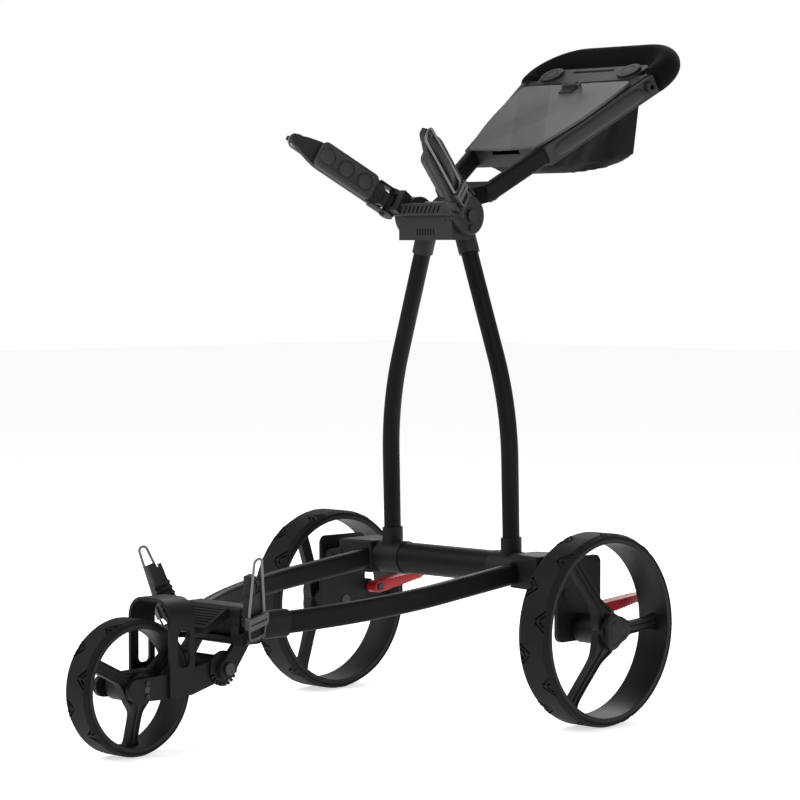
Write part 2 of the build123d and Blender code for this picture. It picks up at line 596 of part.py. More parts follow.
def upright_collar():
    """Sleeve that turns on the cross tube, with a socket for the upright."""
    sleeve = Pos(0, CROSS_Y, CROSS_Z) * rod_x(COLLAR_R, (COLLAR_INNER_X, COLLAR_OUTER_X))
    neck = Pos(UPRIGHT_X, 0, 14) * extrude(Ellipse(UPRIGHT_WIDTH / 2 + 3, UPRIGHT_DEPTH / 2 + 3), amount=34)
    body = sleeve + UPRIGHT_FRAME * neck
    body -= upright_bar(grow=RUN)
    bore = rod_x(CROSS_R + RUN, (COLLAR_INNER_X - 1, COLLAR_OUTER_X + 1))
    return body - Pos(0, CROSS_Y, CROSS_Z) * bore


def hinge_housing():
    """Two cheeks on the pin, a front bridge between them and a socket over each upright."""
    cheek = rod_x(HINGE_CHEEK_R, HINGE_CHEEK_X)
    cheek = fillet(cheek.edges().filter_by(GeomType.CIRCLE).sort_by(Axis.X)[-1:], 4)
    cheek += box((HINGE_CHEEK_X[0], HINGE_CHEEK_X[1] - 12), (-HINGE_CHEEK_R, 16), (-38, -8))
    housing = pair(cheek)
    housing += box((-HINGE_CHEEK_X[0] - 1, HINGE_CHEEK_X[0] + 1), (-HINGE_CHEEK_R, -YOKE_R - 1.5), (-38, 16))
    housing = HINGE_FRAME * housing
    socket_x = UPRIGHT_X - UPRIGHT_BEND_R * (1 - cos(radians(UPRIGHT_BEND_ANGLE)))
    bend_z = UPRIGHT_STRAIGHT + UPRIGHT_BEND_R * sin(radians(UPRIGHT_BEND_ANGLE))
    socket_z = UPRIGHT_TOP - 24
    socket_x -= (socket_z - bend_z) * tan(radians(UPRIGHT_BEND_ANGLE))
    sleeve = extrude(Ellipse(UPRIGHT_WIDTH / 2 + 3, UPRIGHT_DEPTH / 2 + 3), amount=30)
    socket = UPRIGHT_FRAME * Pos(socket_x, 0, socket_z) * Rot(0, -UPRIGHT_BEND_ANGLE, 0) * sleeve
    housing += pair(socket)
    housing -= pair(upright_bar(grow=RUN))
    for step in range(-3, 4):
        slot = box((6 * step - 1.2, 6 * step + 1.2), (-HINGE_CHEEK_R - 1, -HINGE_CHEEK_R + 1.5), (-30, -20))
        housing -= HINGE_FRAME * slot
    sweep_room = rod_x(YOKE_R + 1.2, (-HINGE_CHEEK_X[0] + 0.01, HINGE_CHEEK_X[0] - 0.01))
    housing -= HINGE_FRAME * sweep_room
    key_room = box((HINGE_CHEEK_X[1] - 16, HINGE_CHEEK_X[1] + 1), (-4 - GAP, 4 + GAP), (-24, -14))
    housing -= HINGE_FRAME * key_room
    bore = rod_x(HINGE_PIN_R + RUN, (-HINGE_CHEEK_X[1] - 1, HINGE_CHEEK_X[1] + 1))
    return housing - HINGE_FRAME * bore


def lock_key():
    """Sliding key in the left cheek that frees the handle."""
    key = box((HINGE_CHEEK_X[1] - 9, HINGE_CHEEK_X[1] + 3), (-4, 4), (-24 + GAP, -14 - GAP))
    key = fillet(key.faces().sort_by(Axis.X)[-1].edges(), 1.2)
    return HINGE_FRAME * key


def cradle_bar():
    """Bar across the housing's front with a row of slots and a fork for each arm's pin."""
    bar = box((-CRADLE_BAR_HALF_X, CRADLE_BAR_HALF_X), (-HINGE_CHEEK_R - 8, -HINGE_CHEEK_R - GAP), (0, 20))
    bar = fillet(bar.edges().filter_by(Axis.X), 3)
    for step in range(-4, 5):
        slot = box((9 * step - 1.5, 9 * step + 1.5), (-HINGE_CHEEK_R - 9, -HINGE_CHEEK_R - 5.5), (4, 16))
        bar -= Pos(9 * step, 0, 10) * Rot(0, 25, 0) * Pos(-9 * step, 0, -10) * slot
    bar = HINGE_FRAME * bar
    fork = None
    half = ARM_ROOT_WIDTH / 2
    for level in ((-half, -half + 7), (half - 7, half)):
        outline = [(CRADLE_BAR_HALF_X - 12, -ARM_PIVOT_Q + 9), (ARM_PIVOT_X + 4, -ARM_PIVOT_Q + 9),
                   (ARM_PIVOT_X + 4, -ARM_PIVOT_Q - 9), (CRADLE_BAR_HALF_X - 12, -ARM_PIVOT_Q - 9)]
        ear = prism_z(outline, level) + rod_z(9, level, ARM_PIVOT_X, -ARM_PIVOT_Q)
        fork = ear if fork is None else fork + ear
    back = box((CRADLE_BAR_HALF_X - 16, CRADLE_BAR_HALF_X - 4), (-ARM_PIVOT_Q - 9, -ARM_PIVOT_Q + 9), (-half, half))
    fork += back
    bar += pair(CRADLE_FRAME * fork)
    bar -= pair(CRADLE_FRAME * rod_z(ARM_PIN_R + RUN, (-half - 1, half + 1), ARM_PIVOT_X, -ARM_PIVOT_Q))
    return bar - HINGE_FRAME * pair(rod_x(HINGE_CHEEK_R + GAP, HINGE_CHEEK_X))


def hinge_pin():
    end = HINGE_CHEEK_X[1] + 1
    pin = rod_x(HINGE_PIN_R, (-end, end)) + pair(rod_x(HINGE_PIN_R + 4, (HINGE_CHEEK_X[1] + RUN, end + 3)))
    half = ARM_ROOT_WIDTH / 2 + 3
    bolt = rod_z(ARM_PIN_R, (-half, half), ARM_PIVOT_X, -ARM_PIVOT_Q)
    return HINGE_FRAME * pin + pair(CRADLE_FRAME * bolt)


def make_uprights():
    both_sides("upright", upright_bar(wall=1.8))
    parts["upright_collars"] = pair(upright_collar())
    parts["hinge_housing"] = hinge_housing()
    parts["hinge_lock_key"] = lock_key()
    parts["cradle_bar"] = cradle_bar()
    parts["hinge_pin"] = hinge_pin()


# ---- bag bracket arms; t runs along the arm, x outwards, z across its width ----
TOP_ARM = CRADLE_FRAME * Pos(ARM_PIVOT_X, -ARM_PIVOT_Q, 0) * Rot(0, 0, 180 + ARM_ANGLE) * Rot(0, 180, 0)
LOWER_ARM = LOWER_ARM_FRAME * Pos(LOWER_ARM_X, 0, 0) * Rot(0, LOWER_ARM_SPLAY, 0) * Rot(90, 0, 0)


def arm_blade(length, root_width, tip_width, offset, eye_half):
    """Tapered blade along +Y with its pivot eye at the origin, axis along Z."""
    root = 10.0
    outline = [(root, -root_width / 2), (length * 0.7, -root_width / 2 + 1), (length, -tip_width / 2),
               (length, tip_width / 2), (length * 0.7, root_width / 2 - 1), (root, root_width / 2)]
    blade = prism_x(outline, (offset, offset + ARM_THICKNESS))
    blade = fillet(blade.edges().filter_by(Axis.X).group_by(Axis.Y)[-1], 4)
    blade -= prism_x([(length * 0.56, -5), (length * 0.86, -3.5), (length * 0.86, 3.5), (length * 0.56, 5)],
                     (offset + 3.5, offset + ARM_THICKNESS + 1))
    for step in range(3):
        low = root + 6 + 9 * step
        blade -= box((offset + ARM_THICKNESS - 1.5, offset + ARM_THICKNESS + 1), (low, low + 3),
                     (-root_width / 2 + 5, root_width / 2 - 5))
    eye = rod_z(8.5, (-eye_half, eye_half))
    neck = box((min(0, offset), offset + ARM_THICKNESS), (0, root + 4), (-eye_half, eye_half))
    return blade + eye + neck - rod_z(ARM_PIN_R + RUN, (-eye_half - 1, eye_half + 1))


def arm_hook(length, offset):
    """Nib at the tip that keeps the elastic loop on."""
    post = box((offset + ARM_THICKNESS - 1, offset + ARM_THICKNESS + 8), (length - 9, length - 4), (-4, 4))
    lip = box((offset + ARM_THICKNESS + 6, offset + ARM_THICKNESS + 9), (length - 9, length + 3), (-4, 4))
    return post + lip


def strap_loop(start, end, offset, half, tip):
    """Closed elastic loop along the outside of an arm; half and tip are its half widths at root and top."""
    x = offset + ARM_THICKNESS + 1.4 + CORD_R
    path = FilletPolyline((x, start, -half), (x, start, half), (x, end, tip), (x, end, -tip),
                          radius=0.9 * min(tip, half), close=True)
    loop = rotate_start(path, (x, (start + end) / 2, (half + tip) / 2))
    return sweep(Plane(origin=loop @ 0, z_dir=loop % 0) * Circle(CORD_R), path=loop)


def rotate_start(path, point):
    """The same closed path, split so that it starts at the point given."""
    edges = path.edges()
    nearest = min(edges, key=lambda e: e.distance_to(Vertex(*point)))
    index = list(edges).index(nearest)
    first = Line(point, nearest @ 1)
    last = Line(nearest @ 0, point)
    ordered = [first.edge(), *edges[index + 1:], *edges[:index], last.edge()]
    return Wire(ordered)


def strap_clip(start, offset, loop_half):
    """Buckle that grips the loop, with a wire ring at its free end."""
    x0 = offset + ARM_THICKNESS + GAP
    half = loop_half + CORD_R + 2
    body = box((x0, x0 + CLIP_DEPTH), (start - CLIP_LENGTH + 4, start + 4), (-half, half))
    body = fillet(body.edges().filter_by(Axis.X), 3)
    body -= box((x0 + CLIP_DEPTH - 2, x0 + CLIP_DEPTH + 1), (start - 8, start - 5), (-half + 4, half - 4))
    body -= box((x0 - 1, x0 + CLIP_DEPTH - 2.5), (start - CORD_R - 0.2, start + 5), (-half + 1.6, half - 1.6))
    ring_x = x0 + CLIP_DEPTH - 3
    low = start - CLIP_LENGTH + 5
    path = FilletPolyline((ring_x, low, -half + 3), (ring_x, low - 17, -half + 5),
                          (ring_x, low - 17, half - 5), (ring_x, low, half - 3), radius=4)
    ring = sweep(Pos(ring_x, low, -half + 3) * Rot(90, 0, 0) * Circle(RING_R), path=path, transition=Transition.ROUND)
    return body + ring


def top_pad():
    """Rubber pad on the inside of an upper arm, with three domed studs."""
    face = Plane.YZ * Pos(PAD_START + PAD_LENGTH / 2, 0) * RectangleRounded(PAD_LENGTH, PAD_WIDTH, 9)
    inner = -ARM_THICKNESS / 2 - GAP
    pad = Pos(inner - PAD_THICKNESS, 0, 0) * extrude(face, amount=PAD_THICKNESS)
    pad = fillet(pad.faces().sort_by(Axis.X)[0].edges(), 3)
    for step in (-1, 0, 1):
        y = PAD_START + PAD_LENGTH / 2 + STUD_PITCH * step
        dome = rod_x(STUD_R, (inner - PAD_THICKNESS - STUD_HEIGHT, inner - PAD_THICKNESS + 1), y)
        pad += fillet(dome.edges().filter_by(GeomType.CIRCLE).sort_by(Axis.X)[:1], 3)
    return pad


def make_arms():
    offset = -ARM_THICKNESS / 2
    top_eye = ARM_ROOT_WIDTH / 2 - 7 - GAP
    blade = arm_blade(ARM_LENGTH, ARM_ROOT_WIDTH, ARM_TIP_WIDTH, offset, top_eye)
    both_sides("top_arm", TOP_ARM * (blade + arm_hook(ARM_LENGTH, offset)))
    both_sides("top_pad", TOP_ARM * top_pad())
    top_loop = strap_loop(TOP_CLIP_START, ARM_LENGTH - 1, offset, LOOP_HALF_WIDTH, LOOP_HALF_WIDTH)
    both_sides("top_loop", TOP_ARM * top_loop)
    both_sides("top_clip", TOP_ARM * strap_clip(TOP_CLIP_START, offset, LOOP_HALF_WIDTH))
    low_blade = arm_blade(LOWER_ARM_LENGTH, LOWER_ARM_ROOT_WIDTH, LOWER_ARM_TIP_WIDTH, offset, 12)
    both_sides("lower_arm", LOWER_ARM * (low_blade + arm_hook(LOWER_ARM_LENGTH, offset)))
    low_end = LOWER_ARM_LENGTH + LOWER_LOOP_RISE
    low_loop = strap_loop(LOWER_CLIP_START, low_end, offset, LOWER_LOOP_HALF_WIDTH, LOWER_LOOP_TIP)
    both_sides("lower_loop", LOWER_ARM * low_loop)
    both_sides("lower_clip", LOWER_ARM * strap_clip(LOWER_CLIP_START, offset, LOWER_LOOP_HALF_WIDTH))


# ---- handle; y runs along the handle (s), z is square to it ----
def handle_bar(grow=0.0, start_s=HANDLE_ROOT_S, end_s=GRIP_START_S):
    """Straight bar along the left handle tube; a negative grow gives the room inside it."""
    section = RectangleRounded(HANDLE_TUBE_WIDTH + 2 * grow, HANDLE_TUBE_HEIGHT + 2 * grow, 6 + grow)
    length = (end_s - start_s) / cos(radians(HANDLE_SLANT))
    bar = Rot(-90, 0, 0) * extrude(section, amount=length)
    return Pos(handle_x(start_s), start_s, 0) * Rot(0, 0, -HANDLE_SLANT) * bar


def grip_path():
    start = (handle_x(GRIP_START_S), GRIP_START_S)
    corner = (handle_x(GRIP_S), GRIP_S)
    return FilletPolyline(start, corner, (-corner[0], GRIP_S), (-start[0], start[1]), radius=GRIP_CORNER_R)


def grip_bow(outer_r, inner_r=None):
    path = grip_path()
    section = Circle(outer_r)
    if inner_r:
        section -= Circle(inner_r)
    return sweep(Plane(origin=path @ 0, z_dir=path % 0) * section, path=path)


def handle_frame():
    yoke = rod_x(YOKE_R, (-YOKE_HALF_X, YOKE_HALF_X))
    neck = [(-YOKE_HALF_X, 0), (-YOKE_HALF_X, HANDLE_ROOT_S - 12), (-HANDLE_ROOT_X - 8, HANDLE_ROOT_S + 6),
            (-HANDLE_ROOT_X - 8, HANDLE_ROOT_S + 14), (HANDLE_ROOT_X + 8, HANDLE_ROOT_S + 14),
            (HANDLE_ROOT_X + 8, HANDLE_ROOT_S + 6), (YOKE_HALF_X, HANDLE_ROOT_S - 12), (YOKE_HALF_X, 0)]
    frame = yoke + prism_z(neck, (-HANDLE_TUBE_HEIGHT / 2, HANDLE_TUBE_HEIGHT / 2))
    frame += pair(handle_bar())
    frame += grip_bow(GRIP_TUBE_R)
    room = handle_bar(-HANDLE_WALL, HANDLE_ROOT_S + 20, BOSS_S - 16)
    room += rod_z(2, (-HANDLE_TUBE_HEIGHT, 0), handle_x(HANDLE_ROOT_S + 34), HANDLE_ROOT_S + 34)
    frame -= pair(room)
    frame -= rod_x(HINGE_PIN_R + RUN, (-YOKE_HALF_X - 1, YOKE_HALF_X + 1))
    frame -= pair(boss_hole())
    return HANDLE_FRAME * frame


def boss_place():
    outside = handle_x(BOSS_S) + (HANDLE_TUBE_WIDTH / 2 + 2 * RUN) / cos(radians(HANDLE_SLANT))
    return Pos(outside, BOSS_S, 0) * Rot(0, 0, -HANDLE_SLANT)


def boss_hole():
    return boss_place() * rod_x(BOSS_BORE_R + RUN, (-8, 1))


def accessory_boss():
    """Round boss with a blind hole, for an accessory holder."""
    boss = rod_x(BOSS_R, (0, BOSS_LENGTH))
    boss = fillet(boss.edges().filter_by(GeomType.CIRCLE).sort_by(Axis.X)[-1:], 1.5)
    boss += rod_x(BOSS_BORE_R, (-7, 1))
    return boss_place() * (boss - rod_x(BOSS_BORE_R, (2, BOSS_LENGTH + 1)))


def side_plan(start_s, end_s, out):
    """Plan outline of the console between the two handle tubes, out from their middle lines."""
    return [(-handle_x(start_s) - out, start_s), (-handle_x(end_s) - out, end_s),
            (handle_x(end_s) + out, end_s), (handle_x(start_s) + out, start_s)]


def console_tray():
    """Tub between the handle tubes, side covers round them and a rear deck with a slot."""
    out = HANDLE_TUBE_WIDTH / 2 + GAP + CONSOLE_SIDE
    tub = prism_z(side_plan(CONSOLE_FRONT_S, CONSOLE_REAR_S - 34, out), (-CONSOLE_DEPTH, CONSOLE_TOP - 1))
    inner = -HANDLE_TUBE_WIDTH / 2 - GAP - CONSOLE_WALL
    room = side_plan(CONSOLE_FRONT_S + CONSOLE_WALL, CONSOLE_LID_S - CONSOLE_WALL - 6, inner)
    tub -= prism_z(room, (-CONSOLE_DEPTH + CONSOLE_WALL, CONSOLE_TOP + 1))
    mouth = box((-30, 30), (CONSOLE_FRONT_S - 1, CONSOLE_FRONT_S + 4), (4, CONSOLE_TOP + 1))
    tub -= mouth
    deck = prism_z(side_plan(CONSOLE_LID_S + 6, CONSOLE_REAR_S, -FOAM_R - 1), (6, CONSOLE_TOP))
    deck = fillet(deck.edges().filter_by(Axis.Z).group_by(Axis.Y)[-1], 10)
    slot = Pos(0, CONSOLE_REAR_S - 12, 0) * extrude(RectangleRounded(90, 8, 3.9), amount=20)
    deck -= slot
    tub += deck
    tub -= pair(handle_bar(grow=GAP, end_s=CONSOLE_REAR_S))
    for side in (-1, 1):
        room_x = (side * (LID_KNUCKLE_X[0] - 1), side * (LID_KNUCKLE_X[1] + 1))
        tub -= rod_x(LID_KNUCKLE_R + 2 * GAP, room_x, CONSOLE_LID_S, LID_PIN_Z)
        tub -= box(room_x, (CONSOLE_LID_S - 12, CONSOLE_LID_S + LID_KNUCKLE_R + 2 * GAP), (LID_PIN_Z, CONSOLE_TOP + 1))
    tub -= rod_x(LID_PIN_R + RUN, (-LID_PIN_HALF - 4, LID_PIN_HALF + 4), CONSOLE_LID_S, LID_PIN_Z)
    tub -= pair(boss_place() * rod_x(BOSS_R + GAP, (-0.5, 30)))
    return HANDLE_FRAME * tub


def console_lid():
    """Flat lid with folded-down front lip and two hinge knuckles at its rear edge."""
    edge = -2.0
    front = CONSOLE_FRONT_S - 4
    rear = CONSOLE_LID_S - 7
    waist = (front + rear) / 2 + 10
    low = HANDLE_TUBE_HEIGHT / 2 + GAP
    bow = ThreePointArc((handle_x(front) + edge, front), (handle_x(waist) + LID_BOW, waist),
                        (handle_x(rear) + edge - 3, rear))
    ends = Polyline((handle_x(front) + edge, front), (0, front - 4), (0, rear), (handle_x(rear) + edge - 3, rear))
    half = make_face([*bow.edges(), *ends.edges()])
    lid = pair(Pos(0, 0, low) * extrude(half, amount=LID_THICKNESS))
    lid = fillet(lid.edges().filter_by(Axis.Z).filter_by(lambda e: abs(e.center().X) > 20), 9)
    lid = fillet(lid.faces().sort_by(Axis.Z)[-1].edges(), 2.4)
    for side in (-1, 1):
        x = (side * LID_KNUCKLE_X[0], side * LID_KNUCKLE_X[1])
        knuckle = rod_x(LID_KNUCKLE_R, x, CONSOLE_LID_S, LID_PIN_Z)
        knuckle += box(x, (CONSOLE_LID_S - 10, CONSOLE_LID_S), (LID_PIN_Z + 1, LID_PIN_Z + LID_KNUCKLE_R))
        knuckle += box(x, (CONSOLE_LID_S - 10.5, CONSOLE_LID_S - 7), (LID_PIN_Z + 1, low + 1))
        lid += knuckle
    lid -= rod_x(LID_PIN_R + RUN, (-LID_PIN_HALF - 4, LID_PIN_HALF + 4), CONSOLE_LID_S, LID_PIN_Z)
    return HANDLE_FRAME * lid


def scorecard_clip():
    """Small sprung clip that holds a card on the lid's rear end."""
    low = HANDLE_TUBE_HEIGHT / 2 + GAP + LID_THICKNESS + GAP
    s = CONSOLE_LID_S - 24
    tongue = prism_z([(-13, s - 16), (13, s - 16), (16, s + 6), (-16, s + 6)], (low, low + 2))
    tongue += box((-16, 16), (s + 2, s + 5), (low, low + 3.5))
    tongue += rod_x(3, (-16, 16), s + 5, low + 3)
    tongue += box((-10, 10), (s + 4, s + 12), (low + 4, low + 6))
    tongue += rod_x(CLIP_PIVOT_R, (-18.6, 18.6), s + 5, low + 3)
    return HANDLE_FRAME * tongue


def clip_ears():
    low = HANDLE_TUBE_HEIGHT / 2 + GAP + LID_THICKNESS - 0.2
    s = CONSOLE_LID_S - 19
    ear = box((16 + GAP, 19), (s - 3, s + 3), (low, low + 6.5))
    return pair(ear - rod_x(CLIP_PIVOT_R + RUN, (15, 20), s, low + 3.5))


def lid_pin():
    return HANDLE_FRAME * rod_x(LID_PIN_R, (-LID_PIN_HALF, LID_PIN_HALF), CONSOLE_LID_S, LID_PIN_Z)


def holder_discs():
    disc = rod_z(DISC_R, (CONSOLE_TOP + RUN, CONSOLE_TOP + RUN + DISC_HEIGHT), DISC_X, DISC_S)
    disc = fillet(disc.faces().sort_by(Axis.Z)[-1].edges(), 1.5)
    top = CONSOLE_TOP + RUN + DISC_HEIGHT
    disc -= rod_z(13, (top - 1.2, top + 1), DISC_X, DISC_S) - rod_z(11.5, (top - 2, top + 2), DISC_X, DISC_S)
    return HANDLE_FRAME * pair(disc)


def net_solid(inset, top):
    """Wedge of netting under the tray, deepest at the rear."""
    front = NET_FRONT_S + 2 * inset
    rear = NET_REAR_S - 1.2 * inset
    foot = rear - NET_REAR_SLANT
    floor = -CONSOLE_DEPTH - NET_DEPTH + inset
    low = -CONSOLE_DEPTH - 1
    belly = ThreePointArc((front, low), ((front + foot) / 2, low + (floor - low) * 0.62), (foot, floor))
    side = Polyline((foot, floor), (rear, low), (rear, top), (front, top), (front, low))
    face = Plane.YZ * make_face([*belly.edges(), *side.edges()])
    half = NET_HALF_REAR
    wedge = Pos(-half, 0, 0) * extrude(face, amount=2 * half)
    plan = [(-NET_HALF_FRONT + inset, NET_FRONT_S), (-NET_HALF_REAR + inset, NET_REAR_S),
            (NET_HALF_REAR - inset, NET_REAR_S), (NET_HALF_FRONT - inset, NET_FRONT_S)]
    return wedge & prism_z(plan, (-200, 100))


def net_bag():
    bag = net_solid(0, -CONSOLE_DEPTH - GAP) - net_solid(NET_WALL, 0)
    mouth = box((-62, 62), (NET_REAR_S - 30, NET_REAR_S + 5), (-CONSOLE_DEPTH - 34, -CONSOLE_DEPTH - 6))
    return HANDLE_FRAME * (bag - mouth)


def make_handle():
    parts["handle_frame"] = handle_frame()
    parts["foam_grip"] = HANDLE_FRAME * grip_bow(FOAM_R, GRIP_TUBE_R + RUN)
    parts["console_tray"] = console_tray()
    parts["console_lid"] = console_lid() + HANDLE_FRAME * clip_ears()
    parts["scorecard_clip"] = scorecard_clip()
    parts["lid_pin"] = lid_pin()
    parts["holder_discs"] = holder_discs()
    parts["accessory_bosses"] = HANDLE_FRAME * pair(accessory_boss())
    parts["net_bag"] = net_bag()


def main():
    make_rear_wheels()
    make_front_wheel()
    make_lower_frame()
    both_sides("end_block", end_block())
    parts["front_block"] = front_block()
    parts["nose_cover"] = nose_cover()
    parts["frame_pins"] = frame_pins()
    make_carriers()
    make_fork()
    make_uprights()
    make_arms()
    make_handle()
    os.makedirs("parts", exist_ok=True)
    for name, shape in parts.items():
        export_step(Pos(0, AXLE_Y, 0) * shape, f"parts/{name}.step")
    print(len(parts), "nodes; the rear axle is at Y =", round(AXLE_Y, 2))


main()
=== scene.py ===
# %% [markdown]
# # A folding golf push cart
# This lesson dresses a three-wheeled golf push cart. The frame, the hinges and the wheels come
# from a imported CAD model, and they stay exactly where they are. Blender adds what CAD is poor at:
# grooved tyres, a foam grip, a net bag that hangs, and finishes with grain and wear in them.

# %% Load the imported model
import math

import bmesh
import bpy
from mathutils import Matrix, Vector


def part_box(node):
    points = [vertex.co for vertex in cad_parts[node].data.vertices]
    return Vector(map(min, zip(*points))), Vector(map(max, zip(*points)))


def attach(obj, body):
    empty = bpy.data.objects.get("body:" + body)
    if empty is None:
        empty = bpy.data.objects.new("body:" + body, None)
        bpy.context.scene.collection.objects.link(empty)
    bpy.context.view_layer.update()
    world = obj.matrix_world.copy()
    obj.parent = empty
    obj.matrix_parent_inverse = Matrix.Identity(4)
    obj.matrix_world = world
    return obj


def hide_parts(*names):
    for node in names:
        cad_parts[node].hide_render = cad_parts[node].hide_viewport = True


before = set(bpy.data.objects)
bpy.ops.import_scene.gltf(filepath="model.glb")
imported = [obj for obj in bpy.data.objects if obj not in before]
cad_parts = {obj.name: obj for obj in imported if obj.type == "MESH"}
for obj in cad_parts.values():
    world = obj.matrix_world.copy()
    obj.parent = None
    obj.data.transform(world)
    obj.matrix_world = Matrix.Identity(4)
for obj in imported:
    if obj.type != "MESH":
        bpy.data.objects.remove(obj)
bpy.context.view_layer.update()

# %% [markdown]
# ## Where the main parts are
# The cart stands on the floor with its front wheel towards -Y. Its main sizes are repeated here
# in metres, and the place of the rear axle is read from a tyre's own box, so that nothing has to
# be fitted by eye. The handle is a plane that leans, so it gets a matrix of its own: in that
# matrix Y runs up the handle and Z stands square to it.

# %% Sizes and places
def middle(node):
    low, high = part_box(node)
    return (Vector(low) + Vector(high)) / 2


REAR_AXLE = middle("rear_tyre_left")
FRONT_AXLE = middle("front_tyre")
HINGE = Vector((0, REAR_AXLE.y - 0.042, 0.778))
HANDLE_ANGLE = math.radians(31.5)
HANDLE = Matrix.Translation(HINGE) @ Matrix.Rotation(HANDLE_ANGLE, 4, "X")
TUBE_ROOT = (0.0486, 0.066)
TUBE_SPREAD = 0.2324
TUBE_SLANT = math.atan(TUBE_SPREAD)
REAR_RADIUS = 0.1475
REAR_WIDTH = 0.0585
REAR_HOLE = 0.133
REAR_PITCHES = 9
REAR_SPOKES = (0, 120, 240)
FRONT_RADIUS = 0.0988
FRONT_WIDTH = 0.0495
FRONT_HOLE = 0.085
FRONT_PITCHES = 7
FRONT_SPOKES = (30, 150, 270)
RIM_WALL = 0.004
print("rear axle", REAR_AXLE, "front axle", FRONT_AXLE)


def tube_x(s):
    """Distance of a handle tube from the middle plane, s up the handle."""
    return TUBE_ROOT[0] + TUBE_SPREAD * (s - TUBE_ROOT[1])


# %% [markdown]
# ## The camera
# A long lens from the front left corner, a little above the floor's horizon, keeps the uprights
# nearly parallel. It is made first, so that every piece can be looked at through it.

# %% Camera
CAMERA_AZIMUTH = math.radians(44.94)
CAMERA_HEIGHT = math.radians(2.748)
CAMERA_DISTANCE = 4.5195
camera_data = bpy.data.cameras.new("studio_camera")
camera = bpy.data.objects.new("studio_camera", camera_data)
bpy.context.scene.collection.objects.link(camera)
bpy.context.scene.camera = camera
camera_data.lens = 133.1
camera_data.sensor_width = 36
target = Vector((0.0589, REAR_AXLE.y - 0.1881, 0.4953))
back = Vector((math.sin(CAMERA_AZIMUTH) * math.cos(CAMERA_HEIGHT),
               -math.cos(CAMERA_AZIMUTH) * math.cos(CAMERA_HEIGHT), math.sin(CAMERA_HEIGHT)))
camera.location = target + back * CAMERA_DISTANCE
camera.rotation_euler = back.to_track_quat("Z", "Y").to_euler()
print("camera at", camera.location)

# %% [markdown]
# ## Light and floor
# Black objects are lit for their edges. A large soft light from the upper left, a second one
# from the right and a grey room round them give long, gentle highlights on tubes and tyres. The
# room looks white to the camera but shines less than that, or it would grey every black surface.
# The floor is plain and pale, and it only catches the contact shadows.

# %% Studio
def soft_light(name, place, aim, size, power):
    data = bpy.data.lights.new(name, "AREA")
    data.shape = "RECTANGLE"
    data.size = size[0]
    data.size_y = size[1]
    data.energy = power
    light = bpy.data.objects.new(name, data)
    bpy.context.scene.collection.objects.link(light)
    light.location = place
    light.rotation_euler = (Vector(place) - Vector(aim)).to_track_quat("Z", "Y").to_euler()


soft_light("key_light", (-1.6, -2.6, 3.0), (0, 0, 0.4), (2.2, 2.2), 95)
soft_light("side_light", (3.4, 0.6, 1.6), (0, 0, 0.4), (1.6, 2.4), 20)
soft_light("rear_light", (-1.5, 3.0, 2.4), (0, 0, 0.5), (2.5, 1.5), 60)

world = bpy.data.worlds.new("white_room")
bpy.context.scene.world = world
world.use_nodes = True
sky = world.node_tree
room = sky.nodes["Background"]
room.inputs["Color"].default_value = (1.0, 1.0, 1.0, 1)
ROOM_GLOW = 0.36
seen = sky.nodes.new("ShaderNodeLightPath")
level = sky.nodes.new("ShaderNodeMapRange")
level.inputs["To Min"].default_value = ROOM_GLOW
level.inputs["To Max"].default_value = 1.0
sky.links.new(seen.outputs["Is Camera Ray"], level.inputs["Value"])
sky.links.new(level.outputs["Result"], room.inputs["Strength"])
bpy.context.scene.view_settings.view_transform = "Standard"


# %% [markdown]
# ## Modelling helpers
# Every piece below starts as a primitive and is shaped in edit mode. An operator acts on all
# that is selected, so each start clears the selection first, and faces or edges are picked by
# their place. A finished piece is moved by its mesh, so its object stays at the origin.

# %% Start, select and finish a piece
def only(piece):
    """Makes the piece the one selected and active object."""
    bpy.ops.object.select_all(action="DESELECT")
    piece.select_set(True)
    bpy.context.view_layer.objects.active = piece


def begin(name, add_primitive, **settings):
    """Adds a primitive under a clean selection, names it and opens it in edit mode."""
    if bpy.context.object and bpy.context.object.mode != "OBJECT":
        bpy.ops.object.mode_set(mode="OBJECT")
    bpy.ops.object.select_all(action="DESELECT")
    add_primitive(**settings)
    piece = bpy.context.object
    piece.name = name
    piece.data.name = name
    bpy.ops.object.mode_set(mode="EDIT")
    bpy.ops.mesh.select_mode(type="VERT")
    bpy.ops.mesh.select_all(action="SELECT")
    return piece


def pick(piece, kind, test):
    """Selects only the verts, edges or faces whose middle passes the test."""
    bpy.ops.mesh.select_mode(type={"verts": "VERT", "edges": "EDGE", "faces": "FACE"}[kind])
    bpy.ops.mesh.select_all(action="DESELECT")
    mesh = bmesh.from_edit_mesh(piece.data)
    for part in getattr(mesh, kind):
        if kind == "verts":
            spot = part.co
        elif kind == "edges":
            spot = (part.verts[0].co + part.verts[1].co) / 2
        else:
            spot = part.calc_center_median()
        if test(spot):
            part.select_set(True)
    mesh.select_flush_mode()
    bmesh.update_edit_mesh(piece.data)


def shape(piece, move):
    """Puts every vertex where move(place) says."""
    mesh = bmesh.from_edit_mesh(piece.data)
    for vertex in mesh.verts:
        vertex.co = move(vertex.co.copy())
    bmesh.update_edit_mesh(piece.data)


MERGE = 0.00005


def close_up(distance=MERGE):
    """Merges doubles and points all faces outwards, then leaves edit mode."""
    bpy.ops.mesh.select_all(action="SELECT")
    bpy.ops.mesh.remove_doubles(threshold=distance)
    bpy.ops.mesh.normals_make_consistent(inside=False)
    bpy.ops.object.mode_set(mode="OBJECT")


def modify(piece, kind, **settings):
    """Adds a modifier and applies it at once."""
    only(piece)
    modifier = piece.modifiers.new(kind.lower(), kind)
    for key, value in settings.items():
        setattr(modifier, key, value)
    bpy.ops.object.modifier_apply(modifier=modifier.name)


